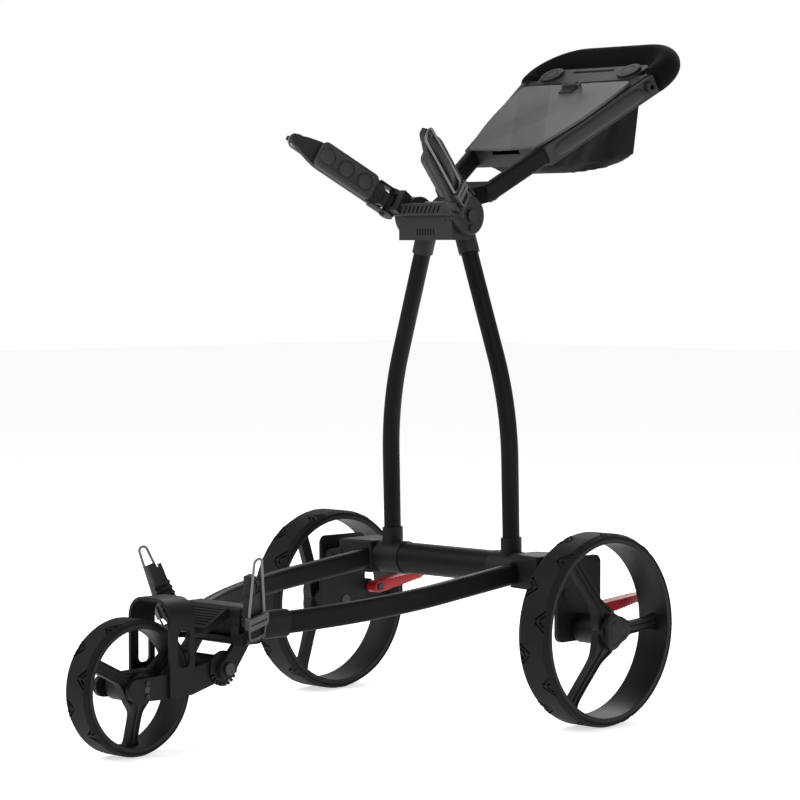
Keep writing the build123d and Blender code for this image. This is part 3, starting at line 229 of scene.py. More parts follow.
def join(first, *others):
    """Makes one object of several."""
    bpy.ops.object.select_all(action="DESELECT")
    for piece in (first, *others):
        piece.select_set(True)
    bpy.context.view_layer.objects.active = first
    bpy.ops.object.join()
    return first


def copy_of(piece, name, matrix):
    """A copy with its own mesh, moved by its mesh."""
    twin = piece.copy()
    twin.data = piece.data.copy()
    twin.name = name
    twin.data.name = name
    bpy.context.scene.collection.objects.link(twin)
    twin.data.transform(matrix)
    if matrix.determinant() < 0:
        twin.data.flip_normals()
    return twin


MIRROR = Matrix.Scale(-1, 4, (1, 0, 0))


def dress(piece, material):
    piece.data.materials.clear()
    piece.data.materials.append(material)


def surface(piece, degrees, material):
    """Smooth shading that keeps edges sharper than the angle, and a finish."""
    only(piece)
    bpy.ops.object.shade_smooth_by_angle(angle=math.radians(degrees))
    dress(piece, material)


def put_on(model, label, place, body, kind=None):
    """Left and mirrored right copies of a model on a body; they may stand for a pair of CAD nodes."""
    for side, matrix in (("left", place), ("right", MIRROR @ place)):
        made = copy_of(model, f"{label}_{side}", matrix)
        if kind:
            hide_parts(f"{kind}_{side}")
        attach(made, body.format(side=side))
    bpy.data.objects.remove(model)


def put_in_front(model, label, kind):
    """A copy of a model on the front wheel, in place of a CAD node."""
    made = copy_of(model, label, Matrix.Translation(FRONT_AXLE))
    bpy.data.objects.remove(model)
    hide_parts(kind)
    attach(made, "front_wheel")
    print(label, "faces", len(made.data.polygons))


# %% [markdown]
# ## Finishes
# The cart is nearly all black, so its materials differ by surface and not by colour: powder
# coat on tube, spark-eroded grain on mouldings, dull rubber, foam and net. One group makes the
# grain, one makes handling wear and dust, and each material gives them its own values.

# %% Node helpers
def new_group(name, inputs, outputs):
    group = bpy.data.node_groups.new(name, "ShaderNodeTree")
    for label, kind, value in inputs:
        socket = group.interface.new_socket(label, in_out="INPUT", socket_type=kind)
        socket.default_value = value
    for label, kind in outputs:
        group.interface.new_socket(label, in_out="OUTPUT", socket_type=kind)
    start = group.nodes.new("NodeGroupInput")
    end = group.nodes.new("NodeGroupOutput")
    return group, start, end


def node(tree, kind, **settings):
    made = tree.nodes.new(kind)
    for key, value in settings.items():
        setattr(made, key, value)
    return made


def feed(made, **values):
    """Sets inputs of a node by name; an underscore stands for a space."""
    for name, value in values.items():
        made.inputs[name.replace("_", " ")].default_value = value


def wire(tree, source, target):
    tree.links.new(source, target)


def math_node(tree, operation, first, second):
    made = node(tree, "ShaderNodeMath", operation=operation)
    for socket, value in zip(made.inputs, (first, second)):
        if isinstance(value, (int, float)):
            socket.default_value = value
        else:
            wire(tree, value, socket)
    return made.outputs[0]


def add_bump(tree, height, strength, distance):
    """A bump node on a height; returns its normal."""
    bump = node(tree, "ShaderNodeBump")
    feed(bump, Strength=strength, Distance=distance)
    wire(tree, height, bump.inputs["Height"])
    return bump.outputs["Normal"]


def two_tone(tree, factor, dark, light):
    """A colour between two greys, by a factor."""
    shade = node(tree, "ShaderNodeMix", data_type="RGBA")
    shade.inputs[6].default_value = (*dark, 1)
    shade.inputs[7].default_value = (*light, 1)
    wire(tree, factor, shade.inputs["Factor"])
    return shade.outputs[2]


# %% The grain group
def make_grain():
    """The normal of fine moulded or sprayed grain."""
    group, start, end = new_group(
        "surface_grain",
        [("Scale", "NodeSocketFloat", 900.0), ("Strength", "NodeSocketFloat", 0.2)],
        [("Normal", "NodeSocketVector")])
    place = node(group, "ShaderNodeTexCoord")
    fine = node(group, "ShaderNodeTexNoise")
    bump = node(group, "ShaderNodeBump")
    feed(fine, Detail=3)
    feed(bump, Distance=0.0006)
    wire(group, place.outputs["Object"], fine.inputs["Vector"])
    wire(group, start.outputs["Scale"], fine.inputs["Scale"])
    wire(group, fine.outputs["Fac"], bump.inputs["Height"])
    wire(group, start.outputs["Strength"], bump.inputs["Strength"])
    wire(group, bump.outputs["Normal"], end.inputs["Normal"])
    return group


GRAIN = make_grain()


# %% The handling group
def make_handling():
    """Broad cloudy marks of hands and dust, laid over a base colour and roughness."""
    group, start, end = new_group(
        "handling_marks",
        [("Color", "NodeSocketColor", (0.03, 0.03, 0.03, 1)),
         ("Dust", "NodeSocketColor", (0.09, 0.09, 0.09, 1)),
         ("Amount", "NodeSocketFloat", 0.25), ("Roughness", "NodeSocketFloat", 0.5)],
        [("Color", "NodeSocketColor"), ("Roughness", "NodeSocketFloat")])
    place = node(group, "ShaderNodeTexCoord")
    cloud = node(group, "ShaderNodeTexNoise")
    spread = node(group, "ShaderNodeMapRange")
    feed(cloud, Scale=9, Detail=6, Roughness=0.62)
    feed(spread, From_Min=0.42, From_Max=0.75)
    mix = node(group, "ShaderNodeMix", data_type="RGBA")
    wire(group, place.outputs["Object"], cloud.inputs["Vector"])
    wire(group, cloud.outputs["Fac"], spread.inputs["Value"])
    amount = math_node(group, "MULTIPLY", spread.outputs["Result"], start.outputs["Amount"])
    wire(group, amount, mix.inputs["Factor"])
    wire(group, start.outputs["Color"], mix.inputs[6])
    wire(group, start.outputs["Dust"], mix.inputs[7])
    wire(group, mix.outputs[2], end.inputs["Color"])
    rough = math_node(group, "MULTIPLY", amount, 0.5)
    wire(group, math_node(group, "ADD", start.outputs["Roughness"], rough), end.inputs["Roughness"])
    return group


HANDLING = make_handling()


# %% A finish from both groups
def finish(name, color, roughness, grain, strength, dust, dust_color=None, specular=0.5, metallic=0.0):
    """A material whose colour and roughness come through the handling group and its normal from grain."""
    made = bpy.data.materials.new(name)
    made.use_nodes = True
    tree = made.node_tree
    shader = tree.nodes["Principled BSDF"]
    feed(shader, Specular_IOR_Level=specular, Metallic=metallic)
    marks = node(tree, "ShaderNodeGroup")
    marks.node_tree = HANDLING
    lift = dust_color or tuple(c * 1.9 + 0.004 for c in color)
    feed(marks, Color=(*color, 1), Dust=(*lift, 1), Amount=dust, Roughness=roughness)
    skin = node(tree, "ShaderNodeGroup")
    skin.node_tree = GRAIN
    feed(skin, Scale=grain, Strength=strength)
    wire(tree, marks.outputs["Color"], shader.inputs["Base Color"])
    wire(tree, marks.outputs["Roughness"], shader.inputs["Roughness"])
    wire(tree, skin.outputs["Normal"], shader.inputs["Normal"])
    return made


POWDER_COAT = finish("powder_coat", (0.0056, 0.0057, 0.0058), 0.42, 1400, 0.10, dust=0.3, specular=0.10)
MOULDING = finish("grained_moulding", (0.0105, 0.0106, 0.0109), 0.5, 1900, 0.28, dust=0.35, specular=0.32)
FRAME_MOULDING = finish("frame_moulding", (0.0074, 0.0075, 0.0077), 0.48, 1800, 0.24, dust=0.3,
                        specular=0.18)
CONSOLE_MOULDING = finish("console_moulding", (0.021, 0.0212, 0.0217), 0.48, 1900, 0.26, dust=0.3,
                          specular=0.35)
WHEEL_MOULDING = finish("wheel_moulding", (0.009, 0.0091, 0.0093), 0.46, 1700, 0.2, dust=0.4, specular=0.2)
TYRE_RUBBER = finish("tyre_rubber", (0.0085, 0.0086, 0.0087), 0.62, 1100, 0.35, dust=0.4, specular=0.12)
PAD_RUBBER = finish("pad_rubber", (0.027, 0.027, 0.0273), 0.55, 1500, 0.35, dust=0.35, specular=0.45)
LEVER_RED = finish("lever_red", (0.36, 0.008, 0.012), 0.4, 1500, 0.12, dust=0.25,
                   dust_color=(0.40, 0.03, 0.03), specular=0.35)
STEEL = finish("zinc_steel", (0.42, 0.42, 0.43), 0.32, 700, 0.12, dust=0.3, metallic=1.0)
DARK_STEEL = finish("black_steel", (0.05, 0.05, 0.052), 0.35, 900, 0.15, dust=0.3, metallic=0.9)
BUCKLE = finish("buckle_plastic", (0.045, 0.045, 0.047), 0.45, 1800, 0.25, dust=0.3)

# %% [markdown]
# ### Elastic cord, foam, net and lid
# These four show a pattern of their own. Elastic cord is braided, so its bump is a fine diagonal
# wave. Foam is a skin of tiny pores. The net is a plain weave of round threads, made from two
# crossed waves on the piece's own UV map, so that it follows the cloth as it hangs.


# %% Braided cord
def make_braid():
    made = finish("braided_cord", (0.16, 0.165, 0.17), 0.7, 2500, 0.2, dust=0.3)
    tree = made.node_tree
    shader = tree.nodes["Principled BSDF"]
    place = node(tree, "ShaderNodeTexCoord")
    wave = node(tree, "ShaderNodeTexWave", wave_type="BANDS", bands_direction="DIAGONAL")
    feed(wave, Scale=260)
    wire(tree, place.outputs["Object"], wave.inputs["Vector"])
    wire(tree, add_bump(tree, wave.outputs["Fac"], 0.5, 0.0004), shader.inputs["Normal"])
    return made


BRAID = make_braid()


# %% Foam with pores
def make_foam():
    made = finish("foam_skin", (0.0042, 0.0042, 0.0045), 0.78, 1300, 0.4, dust=0.25, specular=0.08)
    tree = made.node_tree
    shader = tree.nodes["Principled BSDF"]
    place = node(tree, "ShaderNodeTexCoord")
    pores = node(tree, "ShaderNodeTexVoronoi", feature="F1")
    feed(pores, Scale=620)
    wire(tree, place.outputs["Object"], pores.inputs["Vector"])
    wire(tree, add_bump(tree, pores.outputs["Distance"], 0.55, 0.0005), shader.inputs["Normal"])
    return made


FOAM = make_foam()


# %% Woven net
WEAVE = 0.0024


def make_net():
    made = finish("woven_net", (0.008, 0.008, 0.0083), 0.8, 1500, 0.2, dust=0.3, specular=0.1)
    tree = made.node_tree
    shader = tree.nodes["Principled BSDF"]
    feed(shader, Sheen_Weight=0.06, Sheen_Roughness=0.5)
    uv = node(tree, "ShaderNodeUVMap")
    split = node(tree, "ShaderNodeSeparateXYZ")
    wire(tree, uv.outputs["UV"], split.inputs["Vector"])
    waves = []
    for axis in ("X", "Y"):
        turns = math_node(tree, "MULTIPLY", split.outputs[axis], 2 * math.pi / WEAVE)
        waves.append(math_node(tree, "ABSOLUTE", math_node(tree, "SINE", turns, 0), 0))
    height = math_node(tree, "MAXIMUM", waves[0], waves[1])
    wire(tree, add_bump(tree, height, 0.7, 0.0006), shader.inputs["Normal"])
    # Painted shade: the gaps between the threads are painted near black, as the shade that shows through
    # the open mesh, while the thread crowns keep the thread colour.
    color = two_tone(tree, height, (0.0015, 0.0015, 0.0015), (0.0115, 0.0117, 0.0121))
    wire(tree, color, shader.inputs["Base Color"])
    return made


NET = make_net()
HEM = finish("net_binding", (0.009, 0.009, 0.0095), 0.75, 1800, 0.35, dust=0.3, specular=0.25)


# %% Lid with painted light and shade on its facets
LID_MIDDLE = middle("console_lid")
# Each facet line: share across, share along, distance from the lid's middle, and the painted light that the
# side beyond it gets.
FACET_LINES = ((1.0, 0.8, 0.012, 0.42), (1.0, -0.9, 0.034, 0.26), (-1.0, 0.9, 0.040, 0.2),
               (-1.0, -0.8, 0.058, 0.3))


def make_painted_facet_light():
    """Painted light from 0 to 1: each line paints the side of the lid that lies beyond it lighter, as if
    light fell on that facet at another angle.
    """
    group, start, end = new_group("lid_facets", [], [("Tone", "NodeSocketFloat")])
    place = node(group, "ShaderNodeTexCoord")
    split = node(group, "ShaderNodeSeparateXYZ")
    wire(group, place.outputs["Object"], split.inputs["Vector"])
    along = math_node(group, "SUBTRACT", split.outputs["Y"], LID_MIDDLE.y)
    total = 0
    for across_share, along_share, distance, lift in FACET_LINES:
        reach = math_node(group, "ADD", math_node(group, "MULTIPLY", split.outputs["X"], across_share),
                          math_node(group, "MULTIPLY", along, along_share))
        beyond = math_node(group, "GREATER_THAN", reach, distance)
        total = math_node(group, "ADD", math_node(group, "MULTIPLY", beyond, lift), total)
    wire(group, total, end.inputs["Tone"])
    return group


def make_lid_satin_and_painted_light():
    """Satin grey moulding with painted light and shade: its large facets are painted lighter or darker, as
    if light fell on each at its own angle.
    """
    made = finish("lid_satin", (0.062, 0.063, 0.065), 0.42, 1900, 0.22, dust=0.2)
    tree = made.node_tree
    shader = tree.nodes["Principled BSDF"]
    facets = node(tree, "ShaderNodeGroup")
    facets.node_tree = make_painted_facet_light()
    # Painted light and shade: the facet value mixes the lid's colour from a shaded grey to a lit grey.
    color = two_tone(tree, facets.outputs["Tone"], (0.036, 0.037, 0.039), (0.096, 0.097, 0.100))
    wire(tree, color, shader.inputs["Base Color"])
    return made


LID_GREY = make_lid_satin_and_painted_light()
print("finishes ready, the last one is", LID_GREY.name)

# %% [markdown]
# ## Finishes on the CAD nodes
# A CAD node keeps its shape and only gets its finish. The dictionary says which kinds of node
# each finish goes on. Left and right nodes are one kind, and every other kind is a plain moulding.

# %% Dress the CAD nodes
FINISHED_KINDS = {
    POWDER_COAT: "cross_tube lower_tube upright handle_frame",
    WHEEL_MOULDING: "rear_rim front_rim hub_cap",
    FRAME_MOULDING: "front_block end_block upright_collars nose_cover wheel_carrier fork_leg fold_hub "
                    "fork_arch",
    CONSOLE_MOULDING: "console_tray",
    TYRE_RUBBER: "rear_tyre front_tyre",
    DARK_STEEL: "frame_pins carrier_pins front_axle hinge_pin lid_pin",
    STEEL: "front_bearings rear_bearings",
    BRAID: "top_loop lower_loop",
    BUCKLE: "top_clip lower_clip",
    PAD_RUBBER: "top_pad",
    LEVER_RED: "release_lever",
    FOAM: "foam_grip",
    NET: "net_bag",
    LID_GREY: "console_lid",
}
NODE_FINISH = {kind: material for material, kinds in FINISHED_KINDS.items() for kind in kinds.split()}


for name, cad_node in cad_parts.items():
    kind = name.replace("_left", "").replace("_right", "")
    dress(cad_node, NODE_FINISH.get(kind, MOULDING))
print("dressed", len(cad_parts), "nodes")


# %% [markdown]
# ## Tyres
# The tyres are foam-filled rubber rings with a flat tread, a crisp shoulder and shallow grooves
# cut in groups, left and right by turns. Grooves cut into a finished ring by booleans give messy
# faces, so the tread is made flat, one pitch long, where a groove is a straight strip between
# two cuts. The pitch is repeated, rolled into a ring and set on a plain carcass.

# %% One flat pitch of tread
GROOVE_WIDTH = 0.0038
GROOVE_DEPTH = 0.0030
CUT_REACH = 0.006
EDGE_LAND = 0.0045
NESTED_GROOVES = ((0.42, 0.155), (0.25, 0.085))
TIP_GAP = 0.012


def cut_line(piece, spot, direction, inside):
    """Cuts the faces that pass the test along a line through spot."""
    pick(piece, "faces", inside)
    normal = (-direction[1], direction[0], 0)
    bpy.ops.mesh.bisect(plane_co=(spot[0], spot[1], 0), plane_no=normal)


def groove(piece, start, end):
    """Sinks a straight strip from start to end, both in the flat pitch."""
    run = Vector((end[0] - start[0], end[1] - start[1], 0))
    length = run.length
    along = run / length
    side = Vector((-along.y, along.x, 0))
    origin = Vector((start[0], start[1], 0))

    def near(place, room):
        offset = place - origin
        return -room < offset.dot(along) < length + room and abs(offset.dot(side)) < GROOVE_WIDTH / 2 + room

    def reach(place):
        return near(place, CUT_REACH)

    for shift in (-GROOVE_WIDTH / 2, GROOVE_WIDTH / 2):
        cut_line(piece, origin + side * shift, along, reach)
    for spot in (origin, origin + run):
        cut_line(piece, spot, side, reach)
    pick(piece, "faces", lambda place: near(place, 0.0) and abs(place.z) < 1e-6)
    bpy.ops.mesh.extrude_region_move(TRANSFORM_OT_translate={"value": (0, 0, -GROOVE_DEPTH)})


def tread_pitch(name, length, width):
    """A flat piece of tread with nested V grooves on one side, then on the other."""
    piece = begin(name, bpy.ops.mesh.primitive_grid_add, x_subdivisions=26, y_subdivisions=8, size=1)
    shape(piece, lambda p: Vector(((p.x + 0.5) * length, p.y * width, 0)))
    for side, middle_x in ((1, 0.25 * length), (-1, 0.75 * length)):
        outer = side * (width / 2 - EDGE_LAND)
        for reach_in, half in NESTED_GROOVES:
            inner = side * (width / 2 - reach_in * width)
            for turn in (-1, 1):
                start = (middle_x + turn * half * length, outer)
                end = (middle_x + turn * TIP_GAP * length, inner)
                groove(piece, start, end)
    bpy.ops.object.mode_set(mode="OBJECT")
    return piece


# %% [markdown]
# Rolling the strip is one formula: the way along the strip becomes an angle, and the height
# above it becomes radius. The edges are let down a little at the same time, to make the shoulder.

# %% Roll the tread and spin the carcass
TREAD_THICKNESS = 0.0042
SHOULDER = 0.006
CARCASS_SKIN = 0.0036
RING_STEPS = 144


def rolled_tread(name, radius, width, pitches):
    """Repeats the pitch, rolls it into a ring and gives it thickness."""
    piece = tread_pitch(name, 2 * math.pi * radius / pitches, width)
    modify(piece, "ARRAY", count=pitches, use_merge_vertices=True, merge_threshold=0.0001,
           relative_offset_displace=(1, 0, 0))
    bpy.ops.object.mode_set(mode="EDIT")

    def roll(place):
        angle = place.x / radius
        over = max(0.0, abs(place.y) - (width / 2 - SHOULDER))
        drop = SHOULDER - math.sqrt(max(0.0, SHOULDER ** 2 - over ** 2))
        r = radius - min(drop, TREAD_THICKNESS) + place.z
        return Vector((place.y, r * math.cos(angle), r * math.sin(angle)))

    shape(piece, roll)
    close_up(2 * MERGE)
    modify(piece, "SOLIDIFY", thickness=TREAD_THICKNESS, offset=-1)
    return piece


def ring(name, profile, steps):
    """Spins a closed outline of (x, radius) points round the X axis."""
    piece = begin(name, bpy.ops.mesh.primitive_circle_add, vertices=len(profile), radius=1)
    mesh = bmesh.from_edit_mesh(piece.data)
    for vertex, (x, r) in zip(mesh.verts, profile):
        vertex.co = (x, r, 0)
    bmesh.update_edit_mesh(piece.data)
    bpy.ops.mesh.select_all(action="SELECT")
    bpy.ops.mesh.spin(steps=steps, angle=2 * math.pi, center=(0, 0, 0), axis=(1, 0, 0))
    close_up()
    return piece


def two_sided(half, side):
    """Closed outline from one side's points (distance in from the edge, radius), and its mirror image."""
    right = [(half - inset, r) for inset, r in side]
    return right + [(-x, r) for x, r in reversed(right)]


def tyre(name, radius, width, hole, pitches):
    """Grooved tread on a carcass with a step and a groove in each sidewall."""
    seat = hole + RIM_WALL
    lip = seat + 0.0032
    side = [(0.0034, seat + 0.0002), (0.0034, lip), (0, lip), (0, lip + 0.0012),
            (0.0006, lip + 0.0018), (0, lip + 0.0024), (0, radius - 0.0042),
            (0.0008, radius - 0.0034), (0.005, radius - CARCASS_SKIN)]
    carcass = ring(name, two_sided(width / 2, side), RING_STEPS)
    tread = rolled_tread(name + "_tread", radius, width - 0.0012, pitches)
    whole = join(carcass, tread)
    surface(whole, 30, TYRE_RUBBER)
    return whole


# %% Place the three tyres
rear_tyre = tyre("rear_tyre_model", REAR_RADIUS, REAR_WIDTH, REAR_HOLE, REAR_PITCHES)
put_on(rear_tyre, "grooved_tyre", Matrix.Translation(REAR_AXLE), "rear_wheel_{side}", "rear_tyre")
front_tyre = tyre("front_tyre_model", FRONT_RADIUS, FRONT_WIDTH, FRONT_HOLE, FRONT_PITCHES)
put_in_front(front_tyre, "grooved_tyre_front", "front_tyre")

# %% [markdown]
# ## Foam grip
# The grip is a thick foam sleeve over a bent tube. A circle is drawn at one end of the tube and
# pushed round the bow: straight, through a bend, across, and back. Spin makes the bends, because
# its centre and angle are the bend's own.

# %% The sleeve
GRIP_S = 0.508
GRIP_CORNER = 0.066
GRIP_START = 0.422
FOAM_R = 0.022
FOAM_END = 0.004


def sleeve_outline(name, radius, start, along):
    """A ring of vertices at start, square to along, in the handle's plane."""
    piece = begin(name, bpy.ops.mesh.primitive_circle_add, vertices=32, radius=radius)
    turn = Vector((0, 0, 1)).rotation_difference(along).to_matrix().to_4x4()
    shape(piece, lambda p: turn @ p + start)
    return piece


def straight(run, steps):
    for _ in range(steps):
        bpy.ops.mesh.extrude_region_move(TRANSFORM_OT_translate={"value": tuple(run / steps)})


turn_angle = math.pi / 2 + TUBE_SLANT
tangent = GRIP_CORNER * math.tan(turn_angle / 2)
start = Vector((tube_x(GRIP_START), GRIP_START, 0))
corner = Vector((tube_x(GRIP_S), GRIP_S, 0))
along = (corner - start).normalized()
first_run = (corner - start).length - tangent
cross_run = 2 * (corner.x - tangent)
first_end = start + along * FOAM_END
grip = sleeve_outline("foam_sleeve", FOAM_R, first_end, along)
straight(along * (first_run - FOAM_END), 3)
centre = start + along * first_run + Vector((-along.y, along.x, 0)) * GRIP_CORNER
bpy.ops.mesh.spin(steps=14, angle=turn_angle, center=tuple(centre), axis=(0, 0, -1))
straight(Vector((-cross_run, 0, 0)), 8)
centre = Vector((-centre.x, centre.y, 0))
bpy.ops.mesh.spin(steps=14, angle=turn_angle, center=tuple(centre), axis=(0, 0, -1))
straight(Vector((along.x, -along.y, 0)) * (first_run - FOAM_END), 3)
bpy.ops.mesh.edge_face_add()
pick(grip, "verts", lambda p: (p - first_end).length < FOAM_R * 1.02 and p.x > 0)
bpy.ops.mesh.edge_face_add()
close_up()
modify(grip, "BEVEL", width=0.004, segments=3, limit_method="ANGLE", angle_limit=math.radians(60))
grip.data.transform(HANDLE)
surface(grip, 50, FOAM)
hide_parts("foam_grip")
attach(grip, "handle")
print("grip box", [round(v, 3) for v in grip.dimensions])

# %% [markdown]
# ## Net bag
# The bag hangs under the console. It is sewn from four cuts of netting: one strip that makes the
# belly, a gusset on each side, and a rear wall with a slot for the hand. Each cut is a grid laid
# out in place, with its UV map in metres of cloth, so the weave keeps its true size. Then the rim
# is held, and a short cloth simulation lets the rest sag.

# %% Outline of the bag
NET_FRONT = 0.192
NET_REAR = 0.417
NET_HALF = (0.058, 0.100)
NET_RIM = -0.0189
NET_FOOT = (0.369, -0.1015)
NET_BELLY = (0.2805, -0.0813)


def net_half(s):
    """Half width of the bag, s up the handle."""
    share = (s - NET_FRONT) / (NET_REAR - NET_FRONT)
    return NET_HALF[0] + (NET_HALF[1] - NET_HALF[0]) * share


def belly_point(t):
    """Point (s, n) of the belly line, t from the front to the foot."""
    curve = []
    for first, control, last in zip((NET_FRONT, NET_RIM), NET_BELLY, NET_FOOT):
        curve.append((1 - t) ** 2 * first + 2 * t * (1 - t) * control + t * t * last)
    return curve


def gusset_point(t, down):
    """Point (s, n) of a gusset: t along the rim, down from the rim to the belly."""
    s, n = belly_point(t)
    rim_s = NET_FRONT + (NET_REAR - NET_FRONT) * t
    return rim_s + (s - rim_s) * down, NET_RIM + (n - NET_RIM) * down


def on_handle(x, s, n):
    return HANDLE @ Vector((x, s, n))


# %% Cut and sew the netting
def net_cut(name, cells, flat, place):
    """A grid of cells with UVs in metres, whose points place(u, v) puts where they hang."""
    piece = begin(name, bpy.ops.mesh.primitive_grid_add, x_subdivisions=cells[0],
                  y_subdivisions=cells[1], size=1, calc_uvs=True)
    mesh = bmesh.from_edit_mesh(piece.data)
    layer = mesh.loops.layers.uv.active
    for face in mesh.faces:
        for corner_loop in face.loops:
            spot = corner_loop[layer].uv
            corner_loop[layer].uv = (spot.x * flat[0], spot.y * flat[1])
    bmesh.update_edit_mesh(piece.data)
    shape(piece, lambda p: place(p.x + 0.5, p.y + 0.5))
    return piece


BELLY_FLAT = (0.17, 0.21)
GUSSET_FLAT = (0.235, 0.096)
WALL_FLAT = (0.192, 0.096)
SLOT_HALF = 0.0615
SLOT_RISE = (-0.054, -0.0245)


def gusset(side):
    def place(u, v):
        s, n = gusset_point(u, v)
        return on_handle(side * net_half(s), s, n)
    piece = net_cut("net_gusset", (30, 12), GUSSET_FLAT, place)
    bpy.ops.object.mode_set(mode="OBJECT")
    return piece


def belly_place(u, v):
    s, n = belly_point(v)
    return on_handle((2 * u - 1) * net_half(s), s, n)


def wall_place(u, v):
    s, n = gusset_point(1.0, v)
    return on_handle((2 * u - 1) * net_half(s), s, n)


belly = net_cut("net_belly", (32, 30), BELLY_FLAT, belly_place)
bpy.ops.object.mode_set(mode="OBJECT")
wall = net_cut("net_rear_wall", (32, 12), WALL_FLAT, wall_place)
inverse = HANDLE.inverted()


def in_slot(place):
    """True inside the hand slot of the rear wall."""
    spot = inverse @ place
    return abs(spot.x) < SLOT_HALF and SLOT_RISE[0] < spot.z < SLOT_RISE[1]


pick(wall, "faces", in_slot)
bpy.ops.mesh.delete(type="FACE")
bpy.ops.object.mode_set(mode="OBJECT")
net = join(belly, wall, gusset(1), gusset(-1))
net.name = "net_cloth"
net.data.name = "net_cloth"
bpy.ops.object.mode_set(mode="EDIT")
close_up(4 * MERGE)


# %% Let the net hang
FRAMES = 20
SLACK = 0.02
FILL = 0.02
FARTHEST_MOVE = 0.012
PIN_ROOM = 0.0004


def settle(piece, held):
    """Runs Cloth on a piece; the vertices that held() picks stay, and no point moves too far."""
    before = [vertex.co.copy() for vertex in piece.data.vertices]
    pins = piece.vertex_groups.new(name="pins")
    pins.add([v.index for v in piece.data.vertices if held(v.co)], 1.0, "REPLACE")
    cloth = piece.modifiers.new("cloth", "CLOTH")
    cloth.settings.quality = 6
    cloth.settings.mass = 0.05
    cloth.settings.tension_stiffness = 30
    cloth.settings.compression_stiffness = 20
    cloth.settings.shear_stiffness = 10
    cloth.settings.bending_stiffness = 0.1
    cloth.settings.vertex_group_mass = "pins"
    cloth.settings.shrink_min = -SLACK
    cloth.settings.use_pressure = True
    cloth.settings.uniform_pressure_force = FILL
    cloth.collision_settings.use_collision = False
    cloth.point_cache.frame_start = 1
    cloth.point_cache.frame_end = FRAMES
    for frame_number in range(1, FRAMES + 1):
        bpy.context.scene.frame_set(frame_number)
    only(piece)
    bpy.ops.object.modifier_apply(modifier="cloth")
    bpy.context.scene.frame_set(1)
    for vertex, old in zip(piece.data.vertices, before):
        step = vertex.co - old
        if step.length > FARTHEST_MOVE:
            vertex.co = old + step * (FARTHEST_MOVE / step.length)
    piece.vertex_groups.clear()


def on_rim(place):
    return (inverse @ place).z > NET_RIM - PIN_ROOM


settle(net, on_rim)


# %% Hems and seams of the net
def is_seam(edge):
    """Open edges, and edges where two cuts meet at a sharp angle."""
    if len(edge.link_faces) < 2:
        return True
    return edge.calc_face_angle() > math.radians(40)


def piping(name, piece, radius):
    """A round binding along every seam of a cloth piece."""
    twin = copy_of(piece, name, Matrix.Identity(4))
    only(twin)
    bpy.ops.object.mode_set(mode="EDIT")
    bpy.ops.mesh.select_mode(type="EDGE")
    bpy.ops.mesh.select_all(action="DESELECT")
    mesh = bmesh.from_edit_mesh(twin.data)
    for edge in mesh.edges:
        edge.select_set(not is_seam(edge))
    bmesh.update_edit_mesh(twin.data)
    bpy.ops.mesh.delete(type="EDGE")
    bpy.ops.object.mode_set(mode="OBJECT")
    bpy.ops.object.convert(target="CURVE")
    twin.data.bevel_depth = radius
    twin.data.bevel_resolution = 1
    bpy.ops.object.convert(target="MESH")
    return bpy.context.object


HEM_RADIUS = 0.0011
NET_THICKNESS = 0.0006
hem = piping("net_hem", net, HEM_RADIUS)
modify(net, "SOLIDIFY", thickness=NET_THICKNESS, offset=0)
surface(net, 60, NET)
surface(hem, 60, HEM)
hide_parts("net_bag")
for piece in (net, hem):
    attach(piece, "handle")

# %% [markdown]
# ## Rubber pads
# A pad is a rubber slab with rounded corners and a soft rim, and three domed studs, each in a
# ring groove. The slab starts as a cube: its corner edges get a wide bevel, its inner rim a small
# one, and two insets crown its face. The studs are spun from a half outline.

# %% One pad in the arm's own frame
PAD_LENGTH = 0.110
PAD_WIDTH = 0.045
PAD_START = 0.038
PAD_BACK = -0.0043
PAD_FACE = -0.0133
STUD_RADIUS = 0.0125
STUD_HEIGHT = 0.004
STUD_PITCH = 0.0365
STUD_SHIFT = 0.003
ARM_LEAN = math.radians(-34)
ARM_TURN = math.radians(199.7)
ARM_PLACE = (Matrix.Translation(HINGE) @ Matrix.Rotation(ARM_LEAN, 4, "X")
             @ Matrix.Translation((0.078, -0.036, 0)) @ Matrix.Rotation(ARM_TURN, 4, "Z")
             @ Matrix.Rotation(math.pi, 4, "Y"))


def pad_slab():
    piece = begin("pad_slab", bpy.ops.mesh.primitive_cube_add, size=1)
    shape(piece, lambda p: Vector((PAD_BACK if p.x > 0 else PAD_FACE,
                                   PAD_START + (p.y + 0.5) * PAD_LENGTH, p.z * PAD_WIDTH)))
    middle_x = (PAD_BACK + PAD_FACE) / 2
    pick(piece, "edges", lambda p: abs(p.x - middle_x) < 0.001)
    bpy.ops.mesh.bevel(offset=0.010, segments=6)
    pick(piece, "faces", lambda p: p.x < PAD_FACE + 0.0001)
    bpy.ops.mesh.inset(thickness=0.0022)
    bpy.ops.transform.translate(value=(-0.0012, 0, 0))
    bpy.ops.mesh.inset(thickness=0.005)
    bpy.ops.transform.translate(value=(-0.0008, 0, 0))
    bpy.ops.mesh.inset(thickness=0.0016)
    bpy.ops.transform.translate(value=(0.0009, 0, 0))
    close_up()
    modify(piece, "BEVEL", width=0.0008, segments=2, limit_method="ANGLE", angle_limit=math.radians(35))
    return piece


